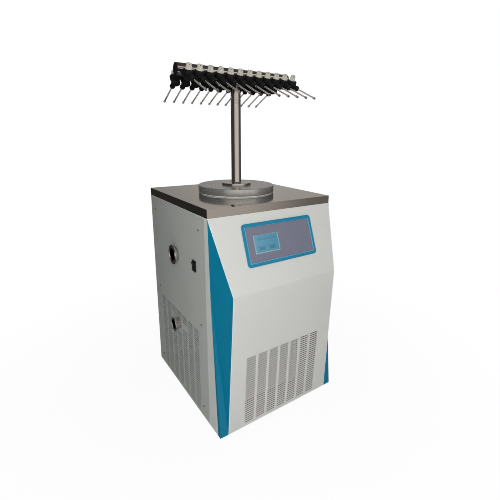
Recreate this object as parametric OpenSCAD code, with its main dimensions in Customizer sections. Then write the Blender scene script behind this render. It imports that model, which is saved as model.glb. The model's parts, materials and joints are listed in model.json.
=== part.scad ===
// Floor-standing laboratory freeze dryer with a round cold-trap lid and a
// raised drying manifold.  The origin is on the floor under the middle of the
// cabinet, +Z is up and the front faces -Y.

/* [Cabinet] */
// Width of the cabinet over the side panels
cab_w = 520; // [500:5:600]
// Depth of the cabinet and of its deck
cab_d = 528; // [510:4:600]
// Height of the side panels
panel_h = 772; // [740:4:860]
// Thickness of the casing sheets
sheet = 1.5; // [1:0.1:2]
// Height of the rubber feet
foot_h = 18; // [12:1:40]
// Radius of the rubber feet
foot_r = 20; // [14:1:28]
// Distance of a foot's centre from the sides of the cabinet
foot_inset = 62; // [50:1:90]
// Distance of the side panels' seam behind the front of the cabinet
seam_in = 23; // [20:1:26]
// Width of the seam
seam_gap = 1; // [0.6:0.1:2]
// Width of the frame's top rails
rail_w = 24; // [18:1:30]
// Width of the uprights behind the side panels
upright_w = 55; // [53:1:58]
// Thickness of the frame's profiles
angle_t = 3; // [2:0.5:4]

/* [Front cover] */
// Height of the cover's fold above its lower edge
fold_h = 530; // [480:5:560]
// Distance that the fold stands out in front of the deck
fold_reach = 90; // [70:1:110]
// Distance that the lower edge stands out in front of the deck
toe_reach = 59; // [50:1:68]
// Inset of the cover's edge from the cabinet's side at the fold
fold_inset = 39.5; // [25:0.5:55]
// Inset of the cover's edge from the cabinet's side at the bottom
toe_inset = 32; // [20:0.5:45]
// Distance that the side strip stands out in front of the deck at the fold
strip_fold = 8; // [4:1:14]
// Distance that the side strip stands out in front of the deck at the bottom
strip_toe = 43; // [36:1:48]
// Thickness of the cover
cover_t = 2; // [1.5:0.1:3]
// Wall of the corner cheeks, across and along the cabinet
cheek_t = 2; // [1.6:0.1:3]
// Joint gap around the cheeks
cheek_gap = 0.3; // [0.2:0.05:0.6]

/* [Ventilation slots] */
// Number of slot columns
slot_cols = 7; // [4:1:7]
// Number of slots in a front column
slot_rows = 30; // [10:1:30]
// Height of a slot
slot_h = 4.2; // [3:0.1:5]
// Spacing of the slots
slot_pitch = 9.2; // [8.5:0.1:9.4]
// Width of a front slot
front_slot_w = 38; // [24:1:40]
// Spacing of the front columns
front_slot_step = 47.7; // [44:0.1:49]
// Height of the lowest slot above the lower edge of the panels
slot_low = 15; // [10:1:24]
// Number of slots in a column of the side panels
side_slot_rows = 36; // [10:1:36]
// Width of a slot in the side panels
side_slot_w = 42; // [24:1:46]
// Spacing of the columns in the side panels
side_slot_step = 54; // [50:1:56]
// Distance from the middle of the cabinet back to the middle column
side_slot_y = 12; // [6:1:16]

/* [Deck and cold trap] */
// Thickness of the deck's folded edge
deck_t = 29; // [22:1:36]
// Thickness of the deck sheet
deck_sheet = 1.5; // [1:0.1:2.5]
// Inner radius of the cold trap
trap_r = 125; // [110:1:135]
// Depth of the cold trap
trap_depth = 300; // [260:5:330]
// Wall of the cold trap
trap_wall = 1.5; // [1:0.1:2]
// Width of the cold trap's rim
trap_rim = 20; // [14:1:24]
// Radius of the trap's drain hole
trap_drain_r = 9; // [6:0.5:12]
// Radius of the evaporator tube
coil_tube_r = 4; // [3:0.25:5]
// Gap between the evaporator tube and the trap
coil_gap = 3; // [2.6:0.1:5]
// Number of evaporator turns
coil_turns = 8; // [4:1:8]
// Rise of an evaporator turn
coil_pitch = 18; // [14:1:20]
// Thickness of the trap's foam
foam_t = 30; // [20:1:34]
// Gap between the foam and the pieces that it encloses
foam_gap = 0.4; // [0.3:0.1:1]

/* [Lid and post] */
// Radius of the lid
lid_r = 149.5; // [148:0.5:160]
// Height of the lid
lid_h = 26; // [20:1:32]
// Thickness of the lid's plate
lid_plate = 11; // [8:1:14]
// Bevel of the lid's edges
lid_bevel = 1.5; // [0.5:0.5:2.5]
// Inner radius of the lid gasket
gasket_in = 130; // [128:0.5:134]
// Outer radius of the lid gasket
gasket_out = 147; // [143:0.5:148]
// Height of the lid gasket
gasket_h = 4; // [3:0.5:6]
// Outer radius of the post
post_r = 19; // [16:0.5:21]
// Wall of the post
post_wall = 2; // [1.5:0.1:3]
// Radius of the post's flange
flange_r = 57.5; // [45:0.5:70]
// Thickness of the post's flange
flange_t = 8; // [6:0.5:12]

/* [Manifold] */
// Height of the manifold's axis above the deck
bar_rise = 440; // [390:1:480]
// Turn of the manifold around the post in degrees, the right end towards the front
bar_turn = 3.5; // [0:0.5:10]
// Length of the manifold tube
bar_len = 456; // [452:1:520]
// Outer radius of the manifold tube
bar_r = 22; // [21:0.5:26]
// Wall of the manifold tube
bar_wall = 1.5; // [1.2:0.1:2.5]
// Thickness of the head of an end plug
plug_head = 3; // [2:0.5:8]
// Depth of an end plug inside the tube
plug_depth = 14; // [8:1:17]
// Number of valves on each side
row_valves = 12; // [4:1:12]
// Spacing of the valves
valve_pitch = 38; // [37.5:0.1:40]
// Downward tilt of the front valves in degrees
front_tilt = 21; // [18:0.5:28]
// Downward tilt of the rear valves in degrees
rear_tilt = 24; // [18:0.5:28]
// Outer radius of a port stub
stub_r = 6; // [5:0.25:7]
// Wall of a port stub
stub_wall = 1.5; // [1:0.1:2]
// Distance from the manifold's axis to the end of a stub
stub_end = 46; // [40:1:50]

/* [Rubber valve] */
// Distance from the manifold's axis to the valve's inner end
valve_start = 27; // [26.5:0.5:30]
// Distance from the manifold's axis to the axis of a key
key_at = 72; // [68:0.5:76]
// Radius of the valve's inlet sleeve
sleeve_r = 11; // [9.5:0.25:12]
// Radius of the valve's barrel
barrel_r = 15.5; // [15:0.25:16.5]
// Height of the barrel's top over the flow axis
barrel_top = 18; // [15:0.5:20]
// Depth of the barrel's bottom under the flow axis
barrel_low = 16; // [14:0.5:20]
// Distance from the manifold's axis to the centre of the round nozzle
nozzle_at = 112; // [106:0.5:116]
// Radius of the round nozzle
nozzle_r = 10; // [9:0.25:12]
// Radius of the flow passage
passage_r = 3.5; // [2.5:0.25:4]
// Radial gap between a stub and its rubber sleeve
rubber_gap = 0.2; // [0.15:0.05:0.4]
// Radius of the wide head of the barrel
head_r = 18; // [17:0.25:18.5]
// Height of the barrel's head
head_h = 15; // [10:0.5:18]
// Bevel of the barrel's head and bottom
barrel_bevel = 1.5; // [0.5:0.25:2.5]

/* [Valve key] */
// Radius of the key's plug
key_plug_r = 7; // [6:0.25:8]
// Depth of the key's plug under the flow axis
key_plug_low = 9; // [7:0.5:11]
// Radial clearance of the key's plug in the rubber
key_clear = 0.05; // [0.02:0.01:0.1]
// Gap between the key's collar and the barrel
key_lift = 0.3; // [0.2:0.05:0.5]
// Radius of the key's collar
key_r = 12; // [10:0.25:12.5]
// Height of the key's collar
key_collar = 3.5; // [2.5:0.5:6]
// Height of the key above the barrel
key_h = 20.5; // [17:0.5:28]
// Radius of the key's narrow top
key_top_r = 7.6; // [6.5:0.1:10]
// Thickness of the key's grip
key_grip = 13; // [9:0.5:16]

/* [Ampoule] */
// Outer radius of the ampoule's stem
ampoule_r = 2.7; // [2.4:0.1:3]
// Wall of the glass
glass_wall = 0.7; // [0.5:0.05:0.9]
// Radius of the ampoule's bulb
bulb_r = 4.25; // [3.75:0.25:6.5]
// Distance from the manifold's axis to the open end of the stem
ampoule_start = 101; // [97:0.5:104]
// Distance from the manifold's axis to the round end of the bulb
ampoule_end = 236; // [200:1:250]
// Length of the bulb
bulb_len = 16; // [12:0.5:40]

/* [Control panel] */
// Width of the panel's frame
bezel_w = 296; // [280:1:320]
// Height of the panel's frame along the slope
bezel_h = 145; // [130:1:155]
// Width of the frame's border
bezel_rim = 13; // [9:0.5:16]
// Thickness of the frame
bezel_t = 4; // [3:0.25:6]
// Corner radius of the frame
bezel_corner = 12; // [6:0.5:16]
// Distance along the slope from the deck to the middle of the panel
bezel_drop = 106; // [98:1:116]
// Thickness of the face plate
face_t = 2; // [1.5:0.1:2.8]
// Gap around the face plate and around the screen
face_gap = 0.3; // [0.2:0.05:0.5]
// Width of the screen
screen_w = 93; // [80:1:110]
// Height of the screen
screen_h = 57; // [50:1:66]
// Width of the raised rim around the screen
screen_rim = 4; // [3:0.25:6]
// Distance from the panel's middle to the middle of the screen, to the left
screen_shift = 60; // [50:1:64]
// Thickness of the screen
screen_t = 6; // [4:0.5:8]
// Distance from the cover to the control board
board_gap = 16; // [14:1:22]
// Width of the control board
board_w = 190; // [170:1:210]
// Height of the control board
board_h = 90; // [80:1:96]

/* [Left side] */
// Distance of both ports behind the middle of the cabinet
port_y = 13; // [0:1:24]
// Height of the vacuum port above the panel's lower edge
vacuum_port_h = 580; // [540:1:620]
// Flange radius of the vacuum port
vacuum_flange_r = 37.5; // [32:0.5:40]
// Bore radius of the vacuum port
vacuum_bore_r = 25; // [20:0.5:26]
// Length of the vacuum port in front of the panel
vacuum_out = 14; // [12:0.5:30]
// Height of the drain port above the panel's lower edge
drain_port_h = 292; // [270:1:320]
// Flange radius of the drain port
drain_flange_r = 27.5; // [24:0.5:30]
// Bore radius of the drain port
drain_bore_r = 20.5; // [16:0.5:21]
// Length of the drain port in front of the panel
drain_out = 22; // [14:0.5:34]
// Wall of the port tubes
port_wall = 1.5; // [1.2:0.1:2.5]
// Thickness of the port flanges
port_flange = 4; // [3:0.25:5]
// Distance of the mains switch behind the front of the cabinet
switch_in = 108; // [98:1:118]
// Height of the mains switch above the panel's lower edge
switch_z = 585; // [560:1:620]
// Width of the switch housing
switch_w = 30; // [26:0.5:34]
// Height of the switch housing
switch_h = 40; // [36:0.5:46]
// Thickness of the switch housing's rim
switch_rim = 3; // [2:0.25:4]
// Throw of the rocker in degrees
rocker_throw = 8; // [6:0.5:9]

/* [Screws] */
// Radius of a panel screw's head
screw_r = 4; // [3:0.25:5]
// Height of a panel screw's head
screw_head = 1.8; // [1.2:0.1:2.5]
// Radius of a panel screw's shank
screw_shank = 1.9; // [1.5:0.1:2.2]
// Distance of the front screws behind the front of the cabinet
screw_front = 66; // [58:1:76]
// Distance of the rear screws in front of the back of the cabinet
screw_rear = 54; // [40:1:58]
// Height of the lowest screws above the panel's lower edge
screw_low = 47; // [40:1:70]
// Height of the middle screws above the panel's lower edge
screw_mid = 380; // [364:1:420]
// Height of the top screws above the panel's lower edge
screw_top = 721; // [700:1:726]
// Radius of the round plug in the deck
deck_plug_r = 6; // [4:0.25:8]
// Distance of the deck plug to the left of the middle of the cabinet
deck_plug_x = 159; // [140:1:190]
// Distance of the deck plug from the deck's front edge
deck_plug_y = 18; // [14:1:18]

/* [Cooling] */
// Width of the condenser
condenser_w = 300; // [260:1:320]
// Height of the condenser
condenser_h = 250; // [220:1:260]
// Depth of the condenser
condenser_d = 46; // [30:1:50]
// Radius of the fan blades
fan_r = 112; // [90:1:116]
// Radius of the fan's hub
hub_r = 22; // [18:0.5:28]
// Depth of the fan's hub
hub_d = 26; // [22:1:28]
// Number of fan blades
fan_blade_count = 5; // [3:1:7]
// Radius of the fan motor's shaft
shaft_r = 4; // [3:0.25:5]
// Radial clearance of the fan's hub on the shaft
shaft_clear = 0.05; // [0.02:0.01:0.1]
// Radius of the compressor's shell
compressor_r = 82; // [70:1:90]
// Height of the compressor's shell
compressor_h = 190; // [160:1:210]
// Radius of the refrigerant tubes
pipe_r = 4; // [3:0.25:5]

/* [Hidden] */
$fn = 64;
eps = 0.01;

// Levels above the floor
base_z = foot_h;
deck_under = base_z + panel_h;
deck_top = deck_under + deck_t;
fold_z = base_z + fold_h;
half_w = cab_w / 2;
half_d = cab_d / 2;
seam_y = half_d - seam_in;

// Slope of the cover's upper part and lean of its lower part
upper_run = panel_h - fold_h;
slope = atan(fold_reach / upper_run);

// How far the cheek's block reaches into the cabinet, as [x, y], and its hollow below it
cheek_core = [60, 20];
cheek_drop = 3;

// Lid and manifold
lid_z = deck_top + gasket_h;
lid_top = lid_z + lid_h;
bar_z = deck_top + bar_rise;
post_foot = lid_top;

// Cold trap, coil and foam
trap_out = trap_r + trap_wall;
trap_top = deck_top - deck_sheet;
trap_floor = trap_top - trap_depth;
coil_r = trap_out + coil_gap + coil_tube_r;
braze = 0.5;
foam_in = coil_r + coil_tube_r + braze + foam_gap;
foam_out = foam_in + foam_t;
foam_floor = trap_floor - trap_wall - foam_gap;
coil_hop = 20;

// Ports
vacuum_z = base_z + vacuum_port_h;
drain_z = base_z + drain_port_h;
vacuum_tube_r = vacuum_bore_r + port_wall;
coil_low = vacuum_z + vacuum_tube_r + coil_tube_r + 8;
drain_tube_r = drain_bore_r + port_wall;
port_hole_gap = 1.5;
drain_pipe_r = trap_drain_r + 2;
drain_reducer_x = half_w - 60;

// Rubber valve and key
key_bore_r = key_plug_r + key_clear;
key_base = barrel_top + key_lift;
key_step = 0.8;
key_grip_r = key_r - key_step;
ampoule_gap = 0.15;

// Control panel
face_w = bezel_w - 2 * bezel_rim - 2 * face_gap;
face_h = bezel_h - 2 * bezel_rim - 2 * face_gap;
panel_ledge = 8;
cutout_w = face_w - 2 * panel_ledge;
cutout_h = face_h - 2 * panel_ledge;
face_corner = 4;
screen_rim_h = 1.2;
board_t = 1.6;
board_window = [60, 220];
standoff_r = 4;

// Screw slots
screw_slot_w = 1;
screw_slot_d = 0.8;

// Mains switch
switch_y = half_d - switch_in;
rocker_w = switch_w - 8;
rocker_h = switch_h - 8;
rocker_gap = 0.5;
rocker_pin_r = 2;
rocker_bore_r = rocker_pin_r + 0.05;
switch_body_w = switch_w - 4;
switch_body_h = switch_h - 4;
switch_body_d = 22;
switch_wall = 1.6;
rocker_axis = switch_rim - 5;
well_w = rocker_w + 2 * rocker_gap;
well_h = rocker_h + 2 * rocker_gap;

// Side vents stop around the drain port
slot_port_clear = drain_flange_r + 8;

// Frame
seat_gap = 0.3;
frame_in = sheet + seat_gap;
frame_front = seam_y - seat_gap;
frame_back = half_d - sheet - seat_gap;
pan_t = 2;
pan_front = half_d + strip_toe - 10;
pan_lip = half_d + toe_reach - cover_t - seat_gap;
foot_stud_r = 4;
web_window_w = condenser_w + 8;
web_window_h = condenser_h + 8;
condenser_low = base_z + 24;
condenser_tank = 8;
fin_inset = 6;
fin_t = 6;
condenser_front = frame_front - angle_t - 2;
fan_plate_y = condenser_front - condenser_d - 4;
fan_z = condenser_low + condenser_h / 2;
fan_ring_r = fan_r + 5;
fan_plate_t = 2;
fan_plate_w = 2 * fan_ring_r + 24;
fan_y = fan_plate_y - fan_plate_t - 4;
motor_r = 32;
motor_len = 40;
motor_y = fan_y - hub_d - 3;
shaft_len = hub_d;
blade_t = 2;
blade_chord = 46;
blade_pitch = 24;
compressor_x = 70;
compressor_y = half_d - 134;
compressor_foot = 14;

// Rear panel
inlet_w = 50;
inlet_h = 28;
inlet_d = 24;
inlet_socket_w = 26;
inlet_socket_h = 17;
inlet_x = 170;
inlet_rise = 70;
inlet_z = base_z + inlet_rise;
rear_cols = 5;
rear_rows = 24;
rear_slot_low = 240;

valve_rows = ["front", "rear"];
function two_digits(n) = n < 10 ? str("0", n) : str(n);
function key_name(row, n) = str(row, "_key_", two_digits(n));

// ---------------------------------------------------------------- helpers

// Corner points of the cabinet's left front corner, from top to bottom
function deck_corner() = [-half_w, -half_d, deck_under];
function strip_fold_point() = [-half_w, -half_d - strip_fold, fold_z];
function strip_toe_point() = [-half_w, -half_d - strip_toe, base_z];
function cover_fold_point() = [-half_w + fold_inset, -half_d - fold_reach, fold_z];
function cover_toe_point() = [-half_w + toe_inset, -half_d - toe_reach, base_z];
function corner_toe_point() = [-half_w, -half_d - toe_reach, base_z];

// A box given by its lowest corner and its highest corner
module span(low, high) {
    translate(low)
        cube(high - low);
}

// A flat plate whose outline lies in the YZ plane, from x to x + t
module plate_yz(x, t) {
    translate([x, 0, 0])
        rotate([90, 0, 90])
            linear_extrude(t)
                children();
}

// A solid whose outline lies in the XZ plane, from y to y + t
module plate_xz(y, t) {
    translate([0, y + t, 0])
        rotate([90, 0, 0])
            linear_extrude(t)
                children();
}

// A rectangle with rounded corners, centred on the origin
module round_rect(w, h, r) {
    for (x = [-1, 1], y = [-1, 1])
        translate([x * (w / 2 - r), y * (h / 2 - r)])
            circle(r, $fn = 32);
    square([w - 2 * r, h], center = true);
    square([w, h - 2 * r], center = true);
}

// Rows and columns of slots, centred across and rising from the origin
module slot_field(cols, step, rows, w) {
    for (c = [0:cols - 1], r = [0:rows - 1])
        translate([(c - (cols - 1) / 2) * step - w / 2, r * slot_pitch])
            square([w, slot_h]);
}

// The same rows and columns without those that meet a circle at y, z
module slot_field_around(cols, step, rows, w, y, z, clear) {
    for (c = [0:cols - 1], r = [0:rows - 1]) {
        u = (c - (cols - 1) / 2) * step;
        v = r * slot_pitch;
        near = max(0, abs(u - y) - w / 2);
        if (norm([near, v + slot_h / 2 - z]) > clear + slot_h / 2)
            translate([u - w / 2, v])
                square([w, slot_h]);
    }
}

// Places a child on the cover's sloping part: +Y up the slope, +Z outwards
module on_slope() {
    translate([0, -half_d, deck_under])
        rotate([90 - slope, 0, 0])
            children();
}

// Places a child on the sloping part at the middle of the control panel
module on_panel() {
    on_slope()
        translate([0, -bezel_drop, 0])
            children();
}

// Places a child on the manifold's axis, +X along the tube to the right
module at_bar() {
    translate([0, 0, bar_z])
        rotate([0, 0, -bar_turn])
            children();
}

// Places a child at valve n of a row: +X along the flow, +Z along the key
module at_valve(row, n) {
    at_bar()
        translate([(n - (row_valves + 1) / 2) * valve_pitch, 0, 0])
            rotate([0, 0, row == "front" ? -90 : 90])
                rotate([0, row == "front" ? front_tilt : rear_tilt, 0])
                    children();
}

module at_every_valve() {
    for (row = valve_rows, n = [1:row_valves])
        at_valve(row, n)
            children();
}

// A round bar along +X from x0 to x1
module bar_x(r, x0, x1) {
    translate([x0, 0, 0])
        rotate([0, 90, 0])
            cylinder(r = r, h = x1 - x0);
}

// A tube run through a list of points, with a brazed elbow at each corner
module pipe_run(points, r) {
    for (i = [0:len(points) - 2]) {
        d = points[i + 1] - points[i];
        translate(points[i])
            rotate([0, acos(d[2] / norm(d)), atan2(d[1], d[0])])
                cylinder(r = r, h = norm(d), $fn = 24);
    }
    for (i = [1:1:len(points) - 2])
        translate(points[i])
            sphere(r + braze, $fn = 24);
}

// Centres of the screws of a side panel, as [y, z]
function side_screws() = [
    for (y = [screw_front - half_d, half_d - screw_rear], z = [screw_low, screw_mid, screw_top])
        [y, base_z + z]];

// ---------------------------------------------------------------- casing

// Welded frame: base pan, four uprights and a ring of top rails
module chassis() {
    x = half_w - frame_in;
    top = trap_top;
    color("dimgray") {
        difference() {
            union() {
                span([-x, -pan_front, base_z], [x, frame_back, base_z + pan_t]);
                span([-half_w + toe_inset + 2, -pan_lip, base_z],
                     [half_w - toe_inset - 2, -pan_front + eps, base_z + pan_t]);
            }
            foot_positions()
                cylinder(r = foot_stud_r + 0.3, h = 3 * pan_t + base_z, $fn = 24);
        }
        for (sx = [0, 1])
            mirror([sx, 0, 0]) {
                upright(x, -frame_front, -1, top);
                upright(x, frame_back, 1, top);
                span([-x, -frame_front, top - rail_w], [-x + angle_t, frame_back, top]);
            }
        span([-x, -frame_front, top - rail_w], [x, -frame_front + angle_t, top]);
        span([-x, frame_back - angle_t, top - rail_w], [x, frame_back, top]);
    }
}

// Angle profile in a corner at x, y, with holes for the panel screws
module upright(x, y, side, top) {
    foot = base_z + pan_t - eps;
    wide = side < 0 ? y : y - upright_w;
    narrow = side < 0 ? y : y - angle_t;
    difference() {
        span([-x, wide, foot], [-x + angle_t, wide + upright_w, top]);
        for (p = side_screws())
            translate([0, p[0], p[1]])
                bar_x(screw_shank + 0.1, -half_w, -half_w + 10);
    }
    span([-x, narrow, foot], [-x + rail_w, narrow + angle_t, top]);
}

module foot_positions() {
    for (x = [-1, 1], y = [-1, 1])
        translate([x * (half_w - foot_inset), y * (half_d - foot_inset), 0])
            children();
}

// Rubber feet with a stud through the base pan
module feet() {
    color("black")
        foot_positions() {
            cylinder(r1 = foot_r - 2, r2 = foot_r, h = foot_h);
            cylinder(r = foot_stud_r, h = foot_h + pan_t + 6, $fn = 24);
            translate([0, 0, foot_h + pan_t])
                cylinder(r = foot_stud_r + 3.5, h = 4, $fn = 6);
        }
}

// Outline of the side strip in front of the seam, as [y, z]
module strip_outline() {
    polygon([
        [-seam_y, base_z], [-seam_y, deck_under], [-half_d, deck_under],
        [-half_d - strip_fold, fold_z], [-half_d - strip_toe, base_z]]);
}

// Bulkhead behind the cover, with the strips that close the cabinet's sides
module front_frame() {
    color("gray") {
        for (sx = [0, 1])
            mirror([sx, 0, 0])
                plate_yz(-half_w, sheet)
                    strip_outline();
        difference() {
            span([-half_w + sheet - eps, -seam_y - sheet, base_z + pan_t],
                 [half_w - sheet + eps, -seam_y, deck_under]);
            span([-web_window_w / 2, -half_d, condenser_low - 4],
                 [web_window_w / 2, 0, condenser_low - 4 + web_window_h]);
            span([-cutout_w / 2, -half_d, deck_under - board_window.y],
                 [cutout_w / 2, 0, deck_under - board_window.x]);
        }
    }
}

// Side panel without its holes
module side_panel_outline() {
    translate([-seam_y + seam_gap, base_z])
        square([half_d + seam_y - seam_gap, panel_h]);
}

// The slots of a side panel, less those within port_clear of the drain port
module side_slots(port_clear) {
    translate([side_slot_y, base_z + slot_low])
        slot_field_around(slot_cols, side_slot_step, side_slot_rows, side_slot_w,
            port_y - side_slot_y, drain_port_h - slot_low, port_clear);
}

module side_screw_holes() {
    for (p = side_screws())
        translate(p)
            circle(screw_shank + 0.3, $fn = 24);
}

module left_panel() {
    color([0.6, 0.61, 0.6])
        plate_yz(-half_w, sheet)
            difference() {
                side_panel_outline();
                side_slots(slot_port_clear);
                side_screw_holes();
                translate([port_y, vacuum_z])
                    circle(vacuum_tube_r + port_hole_gap);
                translate([port_y, drain_z])
                    circle(drain_tube_r + port_hole_gap);
                translate([-switch_y, base_z + switch_z])
                    square([switch_body_w + 0.6, switch_body_h + 0.6], center = true);
            }
}

module right_panel() {
    color([0.6, 0.61, 0.6])
        plate_yz(half_w - sheet, sheet)
            difference() {
                side_panel_outline();
                side_slots(0);
                side_screw_holes();
            }
}

module rear_panel() {
    color([0.6, 0.61, 0.6])
        plate_xz(half_d - sheet, sheet)
            difference() {
                translate([-half_w + sheet, base_z])
                    square([cab_w - 2 * sheet, panel_h]);
                translate([0, base_z + rear_slot_low])
                    slot_field(rear_cols, side_slot_step, rear_rows, side_slot_w);
                translate([inlet_x, inlet_z])
                    square([inlet_w - 6, inlet_h - 4], center = true);
            }
}

// ---------------------------------------------------------------- front

// Front view of the cover as [x, z], grown sideways by g; its top corners clear the strips
module cover_outline(g) {
    corner_z = deck_under - frame_in / fold_inset * upper_run;
    right = [
        [half_w - toe_inset + g, base_z], [half_w - fold_inset + g, fold_z],
        [half_w - frame_in + g, corner_z], [half_w - frame_in + g, deck_under]];
    left = [for (i = [3:-1:0]) [-right[i].x, right[i].y]];
    polygon(concat(right, left));
}

// One folded sheet: a sloping upper part and a lower part that leans back
module front_cover() {
    color([0.86, 0.86, 0.84])
        difference() {
            intersection() {
                plate_yz(-half_w, cab_w)
                    polygon([
                        [-half_d, deck_under], [-half_d - fold_reach, fold_z],
                        [-half_d - toe_reach, base_z], [-half_d - toe_reach + cover_t, base_z],
                        [-half_d - fold_reach + cover_t, fold_z], [-half_d + cover_t, deck_under]]);
                plate_xz(-half_d - fold_reach - 1, fold_reach + 2 + cover_t)
                    cover_outline(0);
            }
            plate_xz(-half_d - fold_reach - 1, fold_reach)
                translate([0, base_z + slot_low])
                    slot_field(slot_cols, front_slot_step, slot_rows, front_slot_w);
            on_panel()
                cube([cutout_w, cutout_h, 12], center = true);
        }
}

// Corner block between strip and cover: four faces of it show, the others lie in the cabinet
module cheek_block() {
    core = [-half_w + cheek_core.x, -half_d + cheek_core.y];
    polyhedron(
        points = [
            deck_corner(), strip_fold_point(), cover_fold_point(), cover_toe_point(),
            corner_toe_point(), strip_toe_point(), [core.x, core.y, base_z],
            [core.x, core.y, deck_under]],
        faces = [
            [2, 1, 0], [1, 2, 3], [1, 3, 4], [1, 4, 5], [2, 0, 7], [0, 1, 7],
            [3, 2, 6], [2, 7, 6], [3, 6, 5, 4], [1, 5, 6], [1, 6, 7]]);
}

// Blue corner piece between the side strip and the cover, a shell open to the inside
module left_cheek() {
    color([0.0, 0.44, 0.56])
        difference() {
            cheek_block();
            translate([cheek_t, cheek_t, -cheek_drop])
                cheek_block();
            plate_xz(-half_d - fold_reach - 1, fold_reach + cheek_core.y + 2)
                cover_outline(cheek_gap);
            plate_yz(-half_w - 1, cheek_core.x + 2)
                translate([-cheek_gap, 0])
                    strip_outline();
        }
}

module right_cheek() {
    mirror([1, 0, 0])
        left_cheek();
}

// ---------------------------------------------------------------- deck and trap

// Stainless tray with folded edges and the opening of the cold trap
module deck() {
    color("silver")
        difference() {
            span([-half_w, -half_d, deck_under], [half_w, half_d, deck_top]);
            span([-half_w + deck_sheet, -half_d + deck_sheet, deck_under - 1],
                 [half_w - deck_sheet, half_d - deck_sheet, deck_top - deck_sheet]);
            cylinder(r = trap_r, h = deck_top + 1);
            translate([-deck_plug_x, -half_d + deck_plug_y, 0])
                cylinder(r = deck_plug_r - 1.8, h = deck_top + 1, $fn = 32);
        }
}

// Round rubber plug in a hole of the deck
module deck_plug() {
    color("black")
        translate([-deck_plug_x, -half_d + deck_plug_y, deck_top]) {
            cylinder(r = deck_plug_r, h = 1.2, $fn = 32);
            translate([0, 0, -deck_sheet - 3])
                cylinder(r = deck_plug_r - 2, h = deck_sheet + 3 + eps, $fn = 32);
        }
}

// Stainless pot that hangs under the deck
module cold_trap() {
    color("lightgray")
        difference() {
            union() {
                translate([0, 0, trap_floor - trap_wall])
                    cylinder(r = trap_out, h = trap_depth + trap_wall);
                translate([0, 0, trap_top - 3])
                    cylinder(r = trap_r + trap_rim, h = 3);
            }
            translate([0, 0, trap_floor])
                cylinder(r = trap_r, h = trap_depth + 1);
            translate([0, port_y, trap_floor - 10])
                cylinder(r = trap_drain_r, h = 20, $fn = 32);
            translate([0, port_y, vacuum_z])
                bar_x(vacuum_bore_r, -trap_r - 20, 0);
        }
}

// Copper tube wound around the pot: level turns joined by short rises
module evaporator_coil() {
    color("peru")
        for (i = [0:coil_turns - 1]) {
            z = coil_low + i * coil_pitch;
            start = [coil_r * cos(coil_hop / 2), coil_r * sin(coil_hop / 2), z];
            end = [start[0], -start[1], z];
            translate([0, 0, z])
                rotate([0, 0, coil_hop / 2])
                    rotate_extrude(angle = 360 - coil_hop, $fn = 96)
                        translate([coil_r, 0])
                            circle(coil_tube_r, $fn = 24);
            if (i < coil_turns - 1)
                pipe_run([end, start + [0, 0, coil_pitch]], coil_tube_r);
            for (p = [start, end])
                translate(p)
                    sphere(coil_tube_r + braze, $fn = 24);
        }
}

// Foam shell around the pot and its coil
module trap_insulation() {
    rim_under = trap_top - 3 - foam_gap;
    color("khaki")
        difference() {
            translate([0, 0, foam_floor - foam_t])
                cylinder(r = foam_out, h = rim_under - foam_floor + foam_t);
            translate([0, 0, foam_floor])
                cylinder(r = foam_in, h = trap_depth + 10);
            translate([0, port_y, foam_floor - foam_t - 1])
                cylinder(r = drain_pipe_r + foam_gap, h = foam_t + 2, $fn = 32);
            translate([0, port_y, vacuum_z])
                bar_x(vacuum_tube_r + foam_gap, -foam_out - 1, 0);
            translate([foam_in - 2 * coil_tube_r, 0, 0])
                pipe_slots();
        }
}

// Passages through the foam for the two ends of the coil
module pipe_slots() {
    for (p = [coil_feed(), coil_return()])
        translate([0, p[1], p[2]])
            bar_x(pipe_r + foam_gap, 0, foam_t + 4 * coil_tube_r);
}

// Ends of the coil where the refrigerant tubes join
function coil_feed() =
    [coil_r * cos(coil_hop / 2), coil_r * sin(coil_hop / 2), coil_low];
function coil_return() =
    [coil_r * cos(coil_hop / 2), -coil_r * sin(coil_hop / 2), coil_low + (coil_turns - 1) * coil_pitch];

// Soft ring between the deck and the lid
module lid_gasket() {
    color("white")
        translate([0, 0, deck_top])
            difference() {
                cylinder(r = gasket_out, h = gasket_h, $fn = 96);
                translate([0, 0, -1])
                    cylinder(r = gasket_in, h = gasket_h + 2, $fn = 96);
            }
}

// Round lid: a plate with a downward rim and a hole for the post
module lid() {
    color("silver")
        translate([0, 0, lid_z])
            difference() {
                rotate_extrude($fn = 128)
                    polygon([
                        [0, 0], [lid_r - lid_bevel, 0], [lid_r, lid_bevel],
                        [lid_r, lid_h - lid_bevel], [lid_r - lid_bevel, lid_h], [0, lid_h]]);
                translate([0, 0, -1])
                    cylinder(r = gasket_in - 1, h = lid_h - lid_plate + 1);
                cylinder(r = post_r - post_wall, h = lid_h + 1);
            }
}

// ---------------------------------------------------------------- manifold

// Tube from the lid up to the manifold, with its welded flange
module post() {
    color("silver")
        difference() {
            union() {
                translate([0, 0, post_foot])
                    cylinder(r = flange_r, h = flange_t);
                translate([0, 0, post_foot])
                    cylinder(r = post_r, h = bar_z - post_foot);
            }
            translate([0, 0, post_foot - 1])
                cylinder(r = post_r - post_wall, h = bar_z - post_foot + 2);
            at_bar()
                bar_x(bar_r, -2 * post_r, 2 * post_r);
        }
}

// Manifold tube with its port stubs and the opening towards the post
module manifold_bar() {
    color("silver")
        difference() {
            union() {
                at_bar()
                    bar_x(bar_r, -bar_len / 2, bar_len / 2);
                at_every_valve()
                    bar_x(stub_r, bar_r - 2, stub_end);
            }
            at_bar()
                bar_x(bar_r - bar_wall, -bar_len / 2 - 1, bar_len / 2 + 1);
            at_every_valve()
                bar_x(stub_r - stub_wall, bar_r / 2, stub_end + 1);
            translate([0, 0, bar_z - bar_r - 1])
                cylinder(r = post_r - post_wall, h = bar_r);
        }
}

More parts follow.
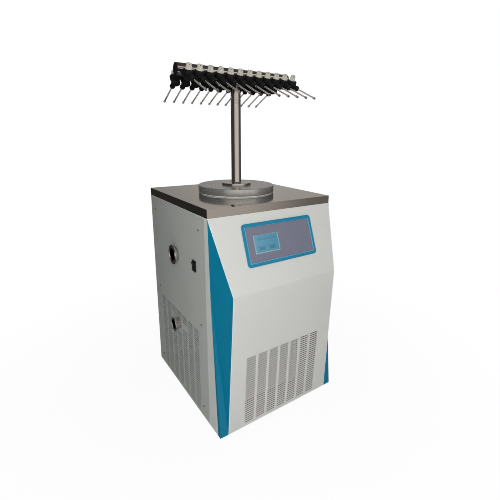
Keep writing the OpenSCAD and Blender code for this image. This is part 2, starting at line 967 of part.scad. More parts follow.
// Rubber plugs in both ends of the manifold tube
module bar_end_plugs() {
    color("black")
        at_bar()
            for (sx = [0, 1])
                mirror([sx, 0, 0]) {
                    bar_x(bar_r, bar_len / 2, bar_len / 2 + plug_head);
                    bar_x(bar_r - bar_wall - rubber_gap, bar_len / 2 - plug_depth, bar_len / 2 + eps);
                }
}

// Rubber body of one valve: sleeve, barrel with a wide head, and round nozzle
module valve_body() {
    difference() {
        union() {
            bar_x(sleeve_r, valve_start, key_at);
            bar_x(nozzle_r, key_at, nozzle_at);
            translate([nozzle_at, 0, 0])
                sphere(nozzle_r, $fn = 48);
            barrel();
        }
        bar_x(stub_r + rubber_gap, valve_start - 1, stub_end + 1);
        bar_x(passage_r, stub_end, ampoule_start);
        bar_x(ampoule_r + ampoule_gap, ampoule_start - 1, nozzle_at + nozzle_r + 1);
        translate([key_at, 0, -key_plug_low - key_lift])
            cylinder(r = key_bore_r, h = key_plug_low + key_lift + barrel_top + 1, $fn = 48);
    }
}

// Upright round body around the key, with a wide head
module barrel() {
    head = barrel_top - head_h;
    translate([key_at, 0, 0])
        rotate_extrude($fn = 48)
            polygon([
                [0, -barrel_low], [barrel_r - barrel_bevel, -barrel_low],
                [barrel_r, -barrel_low + barrel_bevel], [barrel_r, head - head_r + barrel_r],
                [head_r, head], [head_r, barrel_top - barrel_bevel],
                [head_r - barrel_bevel, barrel_top], [0, barrel_top]]);
}

module valve_bodies() {
    color([0.1, 0.1, 0.1])
        at_every_valve()
            valve_body();
}

// Turning key: a plug with a cross hole, a collar and a tapered grip
module key() {
    color([0.85, 0.83, 0.78])
        translate([key_at, 0, 0]) {
            difference() {
                translate([0, 0, -key_plug_low])
                    cylinder(r = key_plug_r, h = key_plug_low + key_base + 1, $fn = 48);
                bar_x(passage_r, -key_plug_r - 1, key_plug_r + 1);
            }
            translate([0, 0, key_base])
                cylinder(r = key_r, h = key_collar, $fn = 48);
            intersection() {
                translate([0, 0, key_base + key_collar - eps])
                    cylinder(r1 = key_grip_r, r2 = key_top_r, h = key_h - key_collar, $fn = 48);
                translate([-key_grip / 2, -2 * key_r, 0])
                    cube([key_grip, 4 * key_r, 100]);
            }
        }
}

// Glass tube with a round bulb, its open end inside the nozzle
module ampoule() {
    outer = ampoule_side(ampoule_r, bulb_r);
    inner = ampoule_side(ampoule_r - glass_wall, bulb_r - glass_wall);
    color([0.75, 0.8, 0.82])
        rotate([0, 90, 0])
            rotate_extrude($fn = 32)
                polygon(concat(outer, [for (i = [len(inner) - 1:-1:0]) inner[i]]));
}

// Side line of a glass surface around the axis, from the open end to the tip
function ampoule_side(stem, bulb) =
    let (neck = ampoule_end - bulb_len, centre = ampoule_end - bulb_r)
    concat(
        [[stem, ampoule_start], [stem, neck], [bulb, neck + bulb_r]],
        [for (a = [0:30:90]) [a < 90 ? bulb * cos(a) : 0, centre + bulb * sin(a)]]);

module ampoules() {
    at_every_valve()
        ampoule();
}

// ---------------------------------------------------------------- control panel

module display_bezel() {
    color([0.16, 0.47, 0.6])
        on_panel()
            linear_extrude(bezel_t)
                difference() {
                    round_rect(bezel_w, bezel_h, bezel_corner);
                    round_rect(bezel_w - 2 * bezel_rim, bezel_h - 2 * bezel_rim, face_corner);
                }
}

module display_face() {
    color([0.46, 0.46, 0.53])
        on_panel()
            difference() {
                union() {
                    linear_extrude(face_t)
                        round_rect(face_w, face_h, face_corner);
                    translate([-screen_shift, 0, 0])
                        linear_extrude(face_t + screen_rim_h)
                            round_rect(screen_w + 2 * screen_rim, screen_h + 2 * screen_rim, 3);
                }
                translate([-screen_shift, 0, 0])
                    cube([screen_w + 2 * face_gap, screen_h + 2 * face_gap, 40], center = true);
            }
}

// Touch screen module that fills the window of the face plate
module touch_screen() {
    color([0.37, 0.58, 0.66])
        on_panel()
            translate([-screen_shift - screen_w / 2, -screen_h / 2, face_t - screen_t])
                cube([screen_w, screen_h, screen_t]);
}

// Control board on standoffs behind the cover
module control_board() {
    sheet_back = -cover_t * cos(slope);
    low = sheet_back - board_gap;
    color("darkgreen")
        on_panel() {
            translate([-board_w / 2, -board_h / 2, low - board_t])
                cube([board_w, board_h, board_t]);
            translate([board_w / 4, 0, low - board_t - 12])
                cylinder(r = 10, h = 12 + eps, $fn = 32);
            for (x = [-1, 1])
                translate([x * (cutout_w / 2 + standoff_r + 1), 0, 0]) {
                    translate([0, 0, low])
                        cylinder(r = standoff_r, h = board_gap, $fn = 24);
                    board_ear(x, low);
                }
        }
}

// Tab that carries the board out to a standoff
module board_ear(side, low) {
    reach = cutout_w / 2 + 2 * standoff_r + 1 - board_w / 2;
    translate([side > 0 ? -reach + standoff_r : -standoff_r, -standoff_r, low - board_t])
        cube([reach, 2 * standoff_r, board_t]);
}

// ---------------------------------------------------------------- side fittings

// Places a child on the left panel: +X outwards, +Y to the cabinet's back
module at_left(y, z) {
    translate([-half_w, y, z])
        mirror([1, 0, 0])
            children();
}

// Vacuum tube from the cold trap with its small-flange end
module vacuum_port() {
    inner = half_w - trap_r / 2;
    color("silver")
        at_left(port_y, vacuum_z)
            difference() {
                union() {
                    bar_x(vacuum_tube_r, -inner, vacuum_out);
                    port_head(vacuum_flange_r, vacuum_tube_r, vacuum_out);
                }
                bar_x(vacuum_bore_r, -half_w, vacuum_out + 1);
                translate([-half_w, -port_y, -trap_depth])
                    cylinder(r = trap_out + 0.05, h = 2 * trap_depth);
            }
}

// Flange with a conical back at the outer end of a port
module port_head(flange, tube, out) {
    taper = (flange - tube) * tan(15);
    translate([out - port_flange, 0, 0])
        rotate([0, 90, 0])
            cylinder(r = flange, h = port_flange);
    translate([out - port_flange - taper, 0, 0])
        rotate([0, 90, 0])
            cylinder(r1 = tube, r2 = flange, h = taper + eps);
}

// Drain tube from the bottom of the cold trap to its port
module drain_port() {
    reducer = drain_reducer_x - half_w;
    rise = trap_floor - trap_wall - drain_z;
    color("silver")
        at_left(port_y, drain_z)
            difference() {
                union() {
                    bar_x(drain_tube_r, reducer, drain_out);
                    port_head(drain_flange_r, drain_tube_r, drain_out);
                    bar_x(drain_pipe_r, -half_w, reducer + 1);
                    translate([-half_w, 0, 0]) {
                        sphere(drain_pipe_r, $fn = 32);
                        cylinder(r = drain_pipe_r, h = rise, $fn = 32);
                    }
                }
                bar_x(drain_bore_r, reducer + port_wall, drain_out + 1);
                bar_x(trap_drain_r, -half_w, reducer + 3);
                translate([-half_w, 0, 0]) {
                    sphere(trap_drain_r, $fn = 32);
                    cylinder(r = trap_drain_r, h = rise + 1, $fn = 32);
                }
            }
}

// Places a child at the mains switch: +X outwards
module at_switch() {
    at_left(-switch_y, base_z + switch_z)
        children();
}

// Open box with a rim, which carries the rocker's pin
module switch_housing() {
    color("black")
        at_switch() {
            difference() {
                union() {
                    plate_yz(0, switch_rim)
                        round_rect(switch_w, switch_h, 3);
                    translate([-switch_body_d, -switch_body_w / 2, -switch_body_h / 2])
                        cube([switch_body_d + eps, switch_body_w, switch_body_h]);
                }
                translate([-switch_body_d + switch_wall, -well_w / 2, -well_h / 2])
                    cube([100, well_w, well_h]);
            }
            translate([rocker_axis, 0, 0])
                rotate([90, 0, 0])
                    cylinder(r = rocker_pin_r, h = well_w + 2, center = true, $fn = 32);
        }
}

// Rocker with two sloping faces, which turns on the housing's pin
module switch_rocker() {
    color([0.15, 0.15, 0.15])
        at_switch()
            translate([rocker_axis, 0, 0])
                rotate([0, rocker_throw, 0])
                    rotate([90, 0, 0])
                        difference() {
                            linear_extrude(rocker_w, center = true)
                                rocker_outline();
                            cylinder(r = rocker_bore_r, h = 2 * rocker_w, center = true, $fn = 32);
                        }
}

// Side view of the rocker around its pin: outwards and up
module rocker_outline() {
    lip = rocker_h / 2 - 2;
    polygon([
        [-6, -rocker_h / 4], [5, -lip - 0.5], [8.5, -lip], [6, 0],
        [8.5, lip], [5, lip + 0.5], [-6, rocker_h / 4]]);
}

// Screws of both side panels
module panel_screws() {
    color("silver")
        for (sx = [0, 1])
            mirror([sx, 0, 0])
                for (p = side_screws())
                    at_left(p[0], p[1])
                        panel_screw();
}

module panel_screw() {
    difference() {
        bar_x(screw_r, 0, screw_head);
        translate([screw_head - screw_slot_d, -screw_r, -screw_slot_w / 2])
            cube([screw_head, 2 * screw_r, screw_slot_w]);
        translate([screw_head - screw_slot_d, -screw_slot_w / 2, -screw_r])
            cube([screw_head, screw_slot_w, 2 * screw_r]);
    }
    bar_x(screw_shank, -sheet - angle_t - 2, eps);
}

// Mains inlet in the rear panel
module power_inlet() {
    color("black")
        translate([inlet_x, half_d, inlet_z])
            rotate([-90, 0, 0])
                difference() {
                    union() {
                        linear_extrude(2)
                            round_rect(inlet_w, inlet_h, 3);
                        translate([-(inlet_w - 8) / 2, -(inlet_h - 6) / 2, -inlet_d])
                            cube([inlet_w - 8, inlet_h - 6, inlet_d + 1]);
                    }
                    translate([-inlet_socket_w / 2, -inlet_socket_h / 2, -inlet_d + 4])
                        cube([inlet_socket_w, inlet_socket_h, inlet_d]);
                }
}

// ---------------------------------------------------------------- cooling

// Finned block behind the cover's slots, on two feet
module condenser() {
    low = [-condenser_w / 2, -condenser_front, condenser_low];
    tank = condenser_tank;
    color("silver") {
        span(low, low + [tank, condenser_d, condenser_h]);
        span(low + [condenser_w - tank, 0, 0], low + [condenser_w, condenser_d, condenser_h]);
        span(low, low + [condenser_w, condenser_d, tank]);
        span(low + [0, 0, condenser_h - tank], low + [condenser_w, condenser_d, condenser_h]);
        for (i = [1:11])
            translate(low + [0, fin_inset, i * condenser_h / 12])
                cube([condenser_w, condenser_d - 2 * fin_inset, fin_t]);
        for (x = [-1, 1])
            translate([x * (condenser_w / 2 - 20) - 10, -condenser_front, base_z + pan_t])
                cube([20, condenser_d, condenser_low - base_z - pan_t + eps]);
    }
}

// Plate with a round opening, on the base pan, which carries the fan motor
module fan_bracket() {
    bottom = base_z + pan_t;
    arm_t = 8;
    arm_h = 12;
    arm_x = fan_ring_r + arm_t / 2;
    color("darkgray") {
        difference() {
            span([-fan_plate_w / 2, -fan_plate_y, bottom],
                 [fan_plate_w / 2, -fan_plate_y + fan_plate_t, fan_z + fan_plate_w / 2]);
            translate([0, 0, fan_z])
                rotate([90, 0, 0])
                    cylinder(r = fan_ring_r, h = 2 * cab_d, center = true);
        }
        translate([0, -motor_y, fan_z])
            rotate([-90, 0, 0])
                cylinder(r = motor_r, h = motor_len);
        translate([0, -motor_y, fan_z])
            rotate([90, 0, 0])
                cylinder(r = shaft_r, h = shaft_len, $fn = 32);
        for (x = [-arm_x, arm_x])
            span([x - arm_t / 2, -fan_plate_y + fan_plate_t - eps, fan_z - arm_h / 2],
                 [x + arm_t / 2, -motor_y + motor_len, fan_z + arm_h / 2]);
        span([-arm_x - arm_t / 2, -motor_y + motor_len - arm_t / 2, fan_z - arm_h / 2],
             [arm_x + arm_t / 2, -motor_y + motor_len, fan_z + arm_h / 2]);
    }
}

// Fan wheel: hub and tilted blades
module fan_blades() {
    color("black")
        translate([0, -fan_y, fan_z])
            rotate([-90, 0, 0])
                difference() {
                    union() {
                        cylinder(r = hub_r, h = hub_d);
                        for (i = [0:fan_blade_count - 1])
                            rotate([0, 0, i * 360 / fan_blade_count])
                                translate([hub_r - 3, 0, hub_d / 2])
                                    rotate([blade_pitch, 0, 0])
                                        translate([0, -blade_chord / 2, -blade_t / 2])
                                            cube([fan_r - hub_r + 1, blade_chord, blade_t]);
                    }
                    translate([0, 0, 2])
                        cylinder(r = shaft_r + shaft_clear, h = hub_d, $fn = 32);
                }
}

// Sealed compressor on a foot plate
module compressor() {
    color([0.12, 0.12, 0.12])
        translate([compressor_x, compressor_y, base_z + pan_t]) {
            translate([-compressor_r, -compressor_r, 0])
                cube([2 * compressor_r, 2 * compressor_r, 4]);
            cylinder(r = compressor_r - 26, h = compressor_foot + 1);
            translate([0, 0, compressor_foot])
                cylinder(r = compressor_r, h = compressor_h - 30);
            translate([0, 0, compressor_foot + compressor_h - 30])
                cylinder(r1 = compressor_r, r2 = compressor_r - 24, h = 30);
        }
}

// Copper tubes between the compressor, the condenser and the coil
module refrigerant_pipes() {
    out_x = foam_out + 14;
    feed = coil_feed();
    back = coil_return();
    shell_y = compressor_y - compressor_r;
    hot_z = base_z + 120;
    discharge_z = base_z + 70;
    cold_z = base_z + 150;
    tank_x = condenser_w / 2 - condenser_tank / 2;
    tank_y = -condenser_front + condenser_d + seat_gap;
    color("peru") {
        // Suction tube: from the top turn of the coil down to the compressor
        pipe_run([
            [back[0] + coil_tube_r + braze + seat_gap, back[1], back[2]], [out_x, back[1], back[2]],
            [out_x, back[1], cold_z], [out_x, compressor_y, cold_z],
            [compressor_x + compressor_r + seat_gap, compressor_y, cold_z]], pipe_r);
        // Liquid tube: from the condenser up to the lowest turn of the coil
        pipe_run([
            [tank_x, tank_y, hot_z], [tank_x, 0, hot_z], [out_x, feed[1] + 20, hot_z + 60],
            [out_x, feed[1], feed[2]], [feed[0] + coil_tube_r + braze + seat_gap, feed[1], feed[2]]], pipe_r);
        // Discharge tube: from the compressor to the condenser
        pipe_run([
            [compressor_x, shell_y - seat_gap, discharge_z], [compressor_x, 0, discharge_z],
            [tank_x, 0, discharge_z], [tank_x, tank_y, discharge_z]], pipe_r);
    }
}

chassis();
front_frame();
left_panel();
right_panel();
rear_panel();
front_cover();
left_cheek();
right_cheek();
deck();
deck_plug();
cold_trap();
evaporator_coil();
trap_insulation();
lid_gasket();
lid();
post();
manifold_bar();
bar_end_plugs();
valve_bodies();
ampoules();
display_bezel();
display_face();
touch_screen();
control_board();
switch_housing();
switch_rocker();
vacuum_port();
drain_port();
compressor();
condenser();
fan_bracket();
fan_blades();
refrigerant_pipes();
power_inlet();
panel_screws();
feet();
for (row = valve_rows, n = [1:row_valves])
    at_valve(row, n) key();
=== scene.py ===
import json
import math

import bpy
from mathutils import Matrix, Vector

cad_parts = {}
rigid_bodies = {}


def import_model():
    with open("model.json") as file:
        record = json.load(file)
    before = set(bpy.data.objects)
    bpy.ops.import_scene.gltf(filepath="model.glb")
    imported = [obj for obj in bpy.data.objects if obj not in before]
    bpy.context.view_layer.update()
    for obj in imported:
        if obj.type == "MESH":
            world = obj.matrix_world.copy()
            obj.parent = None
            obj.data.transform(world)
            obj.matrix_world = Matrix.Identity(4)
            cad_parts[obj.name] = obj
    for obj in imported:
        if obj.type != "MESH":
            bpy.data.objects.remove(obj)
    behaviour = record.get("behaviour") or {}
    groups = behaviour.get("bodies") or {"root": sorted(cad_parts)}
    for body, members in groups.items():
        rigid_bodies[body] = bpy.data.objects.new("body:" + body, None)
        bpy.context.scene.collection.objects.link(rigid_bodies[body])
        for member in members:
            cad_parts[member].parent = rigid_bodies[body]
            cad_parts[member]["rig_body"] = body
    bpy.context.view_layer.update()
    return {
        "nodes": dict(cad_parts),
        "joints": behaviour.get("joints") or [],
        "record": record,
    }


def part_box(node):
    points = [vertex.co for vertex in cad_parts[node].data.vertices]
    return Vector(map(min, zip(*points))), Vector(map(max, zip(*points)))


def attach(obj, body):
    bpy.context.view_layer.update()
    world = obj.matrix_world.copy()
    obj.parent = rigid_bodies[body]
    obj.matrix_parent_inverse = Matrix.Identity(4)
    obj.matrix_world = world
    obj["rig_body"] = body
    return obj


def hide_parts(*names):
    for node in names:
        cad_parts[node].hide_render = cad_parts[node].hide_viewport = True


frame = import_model()

MM = 0.001
FULL_TURN = 2 * math.pi


# ---------------------------------------------------------------- shader maths

class Signal:
    """An output socket: Python expressions on it add Math nodes, numbers alone stay Python."""

    def __init__(self, finish, socket):
        self.finish = finish
        self.socket = socket

    def _maths(self, operation, *values, **settings):
        settings["operation"] = operation
        return self.finish.node("ShaderNodeMath", settings, *values)[0]

    def __add__(self, other):
        return self._maths("ADD", self, other)

    def __sub__(self, other):
        return self._maths("SUBTRACT", self, other)

    def __rsub__(self, other):
        return self._maths("SUBTRACT", other, self)

    def __mul__(self, other):
        return self._maths("MULTIPLY", self, other)

    def __truediv__(self, other):
        return self._maths("DIVIDE", self, other)

    def __pow__(self, other):
        return self._maths("POWER", self, other)

    def __gt__(self, other):
        return self._maths("GREATER_THAN", self, other)

    def __lt__(self, other):
        return self._maths("LESS_THAN", self, other)

    def __abs__(self):
        return self._maths("ABSOLUTE", self)

    __radd__ = __add__
    __rmul__ = __mul__

    def clipped(self):
        """The signal held between 0 and 1."""
        return self._maths("ADD", self, 0.0, use_clamp=True)

    def larger(self, other):
        return self._maths("MAXIMUM", self, other)

    def smaller(self, other):
        return self._maths("MINIMUM", self, other)

    def wave(self):
        return self._maths("SINE", self)

    def between(self, low, high):
        """1 where the signal lies between low and high, else 0."""
        return (self > low) * (self < high)


class Finish:
    """A material in the making, or a world. node() adds any node, and surface() closes it."""

    def __init__(self, name, world=None):
        self.material = world or bpy.data.materials.new(name)
        self.material.use_nodes = True
        self.tree = self.material.node_tree
        self.tree.nodes.clear()
        self.place = self.node("ShaderNodeTexCoord")["Object"]

    def node(self, kind, settings=None, *values, **sockets):
        """Adds a node with its settings, then the values or links of its sockets.

        Returns a lookup of its outputs by name or by number."""
        made = self.tree.nodes.new(kind)
        for key, value in (settings or {}).items():
            if key == "stops":
                self._set_stops(made.color_ramp, value)
            else:
                setattr(made, key, value)
        for key, value in [*enumerate(values), *sockets.items()]:
            self._feed(made.inputs[key], value)
        return _Outputs(self, made)

    def _feed(self, socket, value):
        if isinstance(value, Signal):
            self.tree.links.new(value.socket, socket)
        elif isinstance(value, tuple) and len(value) == 3 and socket.type == "RGBA":
            socket.default_value = (*value, 1.0)
        else:
            socket.default_value = value

    def _set_stops(self, ramp, stops):
        while len(ramp.elements) < len(stops):
            ramp.elements.new(1.0)
        for element, (at, colour) in zip(ramp.elements, stops):
            element.position = at
            element.color = (*colour, 1.0)

    def axes(self):
        """The three parts of the place on the object."""
        parts = self.node("ShaderNodeSeparateXYZ", None, self.place)
        return parts[0], parts[1], parts[2]

    def stretched(self, scale, turn=(0.0, 0.0, 0.0)):
        """Object coordinates turned and scaled, for a pattern with a direction."""
        sockets = {"Rotation": turn, "Scale": scale}
        return self.node("ShaderNodeMapping", {"vector_type": "POINT"}, self.place, **sockets)[0]

    def noise(self, scale, detail, vector=None):
        sockets = {"Vector": vector or self.place, "Scale": scale, "Detail": detail}
        return self.node("ShaderNodeTexNoise", None, Roughness=0.5, **sockets)["Fac"]

    def mix(self, mask, low, high):
        """A colour between low and high."""
        made = self.tree.nodes.new("ShaderNodeMix")
        made.data_type = "RGBA"
        self._feed(made.inputs[0], mask)
        self._feed(made.inputs[6], low)
        self._feed(made.inputs[7], high)
        return Signal(self, made.outputs[2])

    def mottled(self, mask, colour, contrast):
        """A colour that the mask takes a little darker and a little lighter."""
        return self.mix(mask, shade(colour, 1 - contrast), shade(colour, 1 + contrast))

    def bump(self, height, depth):
        """A normal that follows height, where 1 is as deep as depth in metres."""
        return self.node(
            "ShaderNodeBump", None, Height=height, Distance=depth, Strength=1.0)["Normal"]

    def close(self, shader):
        """Ends the material with a shader."""
        self.node("ShaderNodeOutputMaterial", None, Surface=shader)
        return self.material

    def surface(self, **sockets):
        """The Principled surface. Underscores in a name stand for blanks."""
        spaced = {key.replace("_", " "): value for key, value in sockets.items()}
        return self.close(self.node("ShaderNodeBsdfPrincipled", None, **spaced)[0])


class _Outputs:
    """The outputs of a node as signals."""

    def __init__(self, finish, node):
        self.finish = finish
        self.node = node

    def __getitem__(self, key):
        return Signal(self.finish, self.node.outputs[key])


def rgb(red, green, blue):
    """Linear colour of an sRGB colour given from 0 to 255."""
    def line(value):
        value /= 255
        return value / 12.92 if value <= 0.04045 else ((value + 0.055) / 1.055) ** 2.4
    return line(red), line(green), line(blue)


def shade(colour, factor):
    """A colour times a factor, held at white."""
    return tuple(min(1.0, part * factor) for part in colour)


# ---------------------------------------------------------------- finishes

FAINT = 0.05        # contrast of paint and plastic
BRUSHED = 0.1       # contrast of brushed and turned steel


def powder_coat(name, colour, roughness, coat=0.0, specular=0.4, toned=None):
    """Baked paint with fine orange peel and a faint unevenness.

    toned(finish, paint) gives the paint its differences from place to place."""
    made = Finish(name)
    cloud = made.noise(5.0, 3.0)
    peel = made.noise(620.0, 2.0)
    fleck = made.noise(2600.0, 1.0)
    paint = made.mottled((0.6 * cloud + 0.4 * fleck).clipped(), colour, FAINT)
    return made.surface(
        Base_Color=toned(made, paint) if toned else paint,
        Roughness=roughness + 0.08 * (peel - 0.5) + 0.06 * (cloud - 0.5),
        Specular_IOR_Level=specular,
        Coat_Weight=coat, Coat_Roughness=0.25,
        Normal=made.bump(peel + 0.4 * fleck, 0.00005))


def brushed(name, colour, along, roughness, contrast=BRUSHED):
    """Steel brushed along an axis, with longer streaks and faint smears."""
    made = Finish(name)
    lengthened = made.stretched(tuple(0.02 if axis == along else 1.0 for axis in range(3)))
    streak = made.noise(1500.0, 3.0, lengthened)
    band = made.noise(160.0, 2.0, lengthened)
    smear = made.noise(9.0, 4.0)
    tone = (0.55 * streak + 0.25 * band + 0.2 * smear).clipped()
    return made.surface(
        Base_Color=made.mottled(tone, colour, contrast),
        Metallic=1.0,
        Roughness=roughness + 0.16 * (streak - 0.5) + 0.1 * (smear - 0.5),
        Normal=made.bump(streak, 0.00001))


def turned_metal(name, colour, roughness):
    """Steel faced on a lathe: rings around the vertical axis."""
    made = Finish(name)
    x, y, z = made.axes()
    radius = (x * x + y * y) ** 0.5
    at = made.node("ShaderNodeCombineXYZ", None, radius, z, 0.0)[0]
    ring = made.noise(1400.0, 3.0, at)
    band = made.noise(90.0, 2.0, at)
    smear = made.noise(14.0, 3.0)
    tone = (0.5 * ring + 0.3 * band + 0.2 * smear).clipped()
    return made.surface(
        Base_Color=made.mottled(tone, colour, BRUSHED),
        Metallic=0.65,
        Roughness=roughness + 0.14 * (ring - 0.5) + 0.08 * (smear - 0.5),
        Normal=made.bump(ring, 0.000008))


def polished(name, colour, roughness):
    """Polished metal with hairline scratches and fingermarks."""
    made = Finish(name)
    hair = made.noise(900.0, 4.0, made.stretched((1.0, 0.12, 1.0), turn=(0.3, 0.2, 0.6)))
    smear = made.noise(22.0, 3.0)
    return made.surface(
        Base_Color=made.mix(smear, shade(colour, 0.94), shade(colour, 1.04)),
        Metallic=1.0,
        Roughness=roughness + 0.08 * (smear - 0.5) + 0.05 * (hair - 0.5),
        Normal=made.bump(hair, 0.000004))


def rubber(name, colour, roughness=0.55):
    """Moulded rubber: fine grain, a matt bloom here and there."""
    made = Finish(name)
    grain = made.noise(2200.0, 2.0)
    bloom = made.noise(45.0, 3.0)
    return made.surface(
        Base_Color=made.mix(bloom, colour, shade(colour, 1.9)),
        Roughness=roughness + 0.16 * (bloom - 0.5) + 0.06 * (grain - 0.5),
        Specular_IOR_Level=0.25,
        Normal=made.bump(grain, 0.00003))


def moulded(name, colour, roughness, toned=None):
    """Injection-moulded plastic with a fine grain and faint flow marks.

    toned(finish, skin) gives the plastic its differences from place to place."""
    made = Finish(name)
    grain = made.noise(1800.0, 2.0)
    flow = made.noise(30.0, 3.0, made.stretched((1.0, 1.0, 0.35)))
    skin = made.mottled(flow, colour, FAINT)
    return made.surface(
        Base_Color=toned(made, skin) if toned else skin,
        Roughness=roughness + 0.1 * (flow - 0.5) + 0.06 * (grain - 0.5),
        Specular_IOR_Level=0.45,
        Normal=made.bump(grain, 0.00003))


def drawn_glass(name):
    """Clear tube glass with slight drawing lines."""
    made = Finish(name)
    lines = made.noise(700.0, 2.0, made.stretched((1.0, 0.05, 0.05)))
    return made.surface(
        Base_Color=made.mix(lines, (0.52, 0.51, 0.49), (0.6, 0.59, 0.57)),
        Roughness=0.02 + 0.04 * lines,
        Transmission_Weight=1.0, IOR=1.47,
        Normal=made.bump(lines, 0.00001))


def foam(name, colour):
    """Rigid foam with an open, bubbly skin."""
    made = Finish(name)
    cells = made.node("ShaderNodeTexVoronoi", None, Vector=made.place, Scale=420.0)["Distance"]
    cloud = made.noise(20.0, 4.0)
    bubbles = (0.6 * cloud + 0.5 * cells).clipped()
    return made.surface(
        Base_Color=made.mix(bubbles, shade(colour, 0.82), shade(colour, 1.06)),
        Roughness=0.85 + 0.1 * (cloud - 0.5),
        Normal=made.bump(cells, 0.0006))


def circuit_board(name, colour):
    """Lacquered board with a faint weave and lighter tracks."""
    made = Finish(name)
    x, y, z = made.axes()
    weave = ((x * 4000.0).wave() * (z * 4000.0).wave()) * 0.5 + 0.5
    tracks = made.noise(60.0, 0.0, made.stretched((1.0, 1.0, 6.0))).between(0.47, 0.53)
    return made.surface(
        Base_Color=made.mix((tracks + 0.2 * weave).clipped(), colour, shade(colour, 2.2)),
        Roughness=0.35 + 0.15 * weave,
        Normal=made.bump(tracks, 0.00004))


def finned(name, colour, pitch):
    """A stack of thin upright fins, with painted shade in the gaps between them."""
    made = Finish(name)
    x, y, z = made.axes()
    fin = ((x * (FULL_TURN / pitch)).wave() * 0.5 + 0.5) ** 0.5
    cloud = made.noise(30.0, 3.0)
    return made.surface(
        # the gaps between the fins are painted nearly black as shade
        Base_Color=made.mix(fin, shade(colour, 0.12), colour),
        Metallic=0.9,
        Roughness=0.35 + 0.25 * cloud,
        Normal=made.bump(fin, 0.0012))


# ---------------------------------------------------------------- working by hand

def nothing_selected():
    if bpy.context.object and bpy.context.object.mode != "OBJECT":
        bpy.ops.object.mode_set(mode="OBJECT")
    bpy.ops.object.select_all(action="DESELECT")


def pick(piece):
    """Makes a piece the only one selected, and the active one."""
    nothing_selected()
    piece.select_set(True)
    bpy.context.view_layer.objects.active = piece


def named(name):
    """Names the active piece and its mesh."""
    piece = bpy.context.object
    piece.name = name
    piece.data.name = name
    return piece


def settled(piece, place=None):
    """Puts a piece at its place, with the place in its mesh and the object at the origin."""
    pick(piece)
    if place is not None:
        piece.matrix_world = place @ piece.matrix_world
    bpy.ops.object.transform_apply(location=True, rotation=True, scale=True)
    return piece


def added(name, primitive, **settings):
    """A new piece from one of Blender's own forms, with its place in its mesh."""
    nothing_selected()
    primitive(**settings)
    return settled(named(name))


def linked(name, data):
    """A new object in the scene for a mesh, a lamp or a camera."""
    made = bpy.data.objects.new(name, data)
    bpy.context.scene.collection.objects.link(made)
    return made


def turned(name, side, steps, place=None):
    """A piece turned about Z: its side line, as (radius, height) in mm, is drawn and spun.

    A line that starts and ends on the axis, or on itself, gives a closed piece."""
    start = (side[0][0] * MM, 0, side[0][1] * MM)
    piece = added(name, bpy.ops.mesh.primitive_plane_add, size=0.001, location=start)
    bpy.ops.object.mode_set(mode="EDIT")
    bpy.ops.mesh.select_mode(type="VERT")
    bpy.ops.mesh.select_all(action="SELECT")
    bpy.ops.mesh.merge(type="CENTER")
    for (r0, h0), (r1, h1) in zip(side, side[1:]):
        move = ((r1 - r0) * MM, 0, (h1 - h0) * MM)
        bpy.ops.mesh.extrude_region_move(TRANSFORM_OT_translate={"value": move})
    bpy.ops.mesh.select_all(action="SELECT")
    bpy.ops.mesh.spin(steps=steps, angle=FULL_TURN, center=(0, 0, 0), axis=(0, 0, 1))
    bpy.ops.mesh.select_all(action="SELECT")
    bpy.ops.mesh.remove_doubles(threshold=1e-6)
    bpy.ops.mesh.normals_make_consistent(inside=False)
    bpy.ops.object.mode_set(mode="OBJECT")
    return settled(piece, place)


def rounded(piece, width, angle=30.0, segments=2):
    """Rounds a piece's edges with a bevel, and keeps its flat faces flat in the light."""
    pick(piece)
    bpy.ops.object.modifier_add(type="BEVEL")
    bevel = piece.modifiers[-1]
    bevel.width = width * MM
    bevel.segments = segments
    bevel.limit_method = "ANGLE"
    bevel.angle_limit = math.radians(angle)
    bpy.ops.object.modifier_apply(modifier=bevel.name)
    bpy.ops.object.shade_smooth_by_angle(angle=math.radians(50))
    bpy.ops.object.modifier_add(type="WEIGHTED_NORMAL")
    flat = piece.modifiers[-1]
    flat.mode = "FACE_AREA"
    flat.weight = 100
    flat.keep_sharp = True
    bpy.ops.object.modifier_apply(modifier=flat.name)
    return piece


def smoothed(piece, angle):
    """Shades a piece smooth, but for the edges sharper than an angle."""
    pick(piece)
    bpy.ops.object.shade_smooth_by_angle(angle=math.radians(angle))
    return piece


def combined(piece, other, operation="UNION"):
    """Adds another piece to a piece, or cuts it away, and removes the other."""
    pick(piece)
    bpy.ops.object.modifier_add(type="BOOLEAN")
    joint = piece.modifiers[-1]
    joint.operation = operation
    joint.solver = "EXACT"
    joint.object = other
    bpy.ops.object.modifier_apply(modifier=joint.name)
    bpy.data.objects.remove(other)
    return piece


def joined(pieces, name):
    """Several pieces as one object."""
    nothing_selected()
    for piece in pieces:
        piece.select_set(True)
    bpy.context.view_layer.objects.active = pieces[0]
    if len(pieces) > 1:
        bpy.ops.object.join()
    return named(name)


def copied(piece, name, place):
    """A copy with its own mesh, at another place."""
    twin = piece.copy()
    twin.data = piece.data.copy()
    twin.name = twin.data.name = name
    bpy.context.scene.collection.objects.link(twin)
    return settled(twin, place)


def from_cad(name, node):
    """A copy of a CAD node with its loose triangles merged and its flat faces made whole."""
    piece = linked(name, frame["nodes"][node].data.copy())
    piece.data.name = name
    pick(piece)
    bpy.ops.object.mode_set(mode="EDIT")
    bpy.ops.mesh.select_all(action="SELECT")
    bpy.ops.mesh.remove_doubles(threshold=2e-6)
    bpy.ops.mesh.dissolve_limited(angle_limit=math.radians(0.5))
    bpy.ops.object.mode_set(mode="OBJECT")
    return piece


def fitted(piece, body, slot, material, *nodes):
    """Gives a piece its finish and its body, and hides the CAD nodes that it stands for; its slot
    is not used.
    """
    piece.data.materials.clear()
    piece.data.materials.append(material)
    for face in piece.data.polygons:
        face.material_index = 0
    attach(piece, body)
    if nodes:
        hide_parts(*nodes)
    return piece


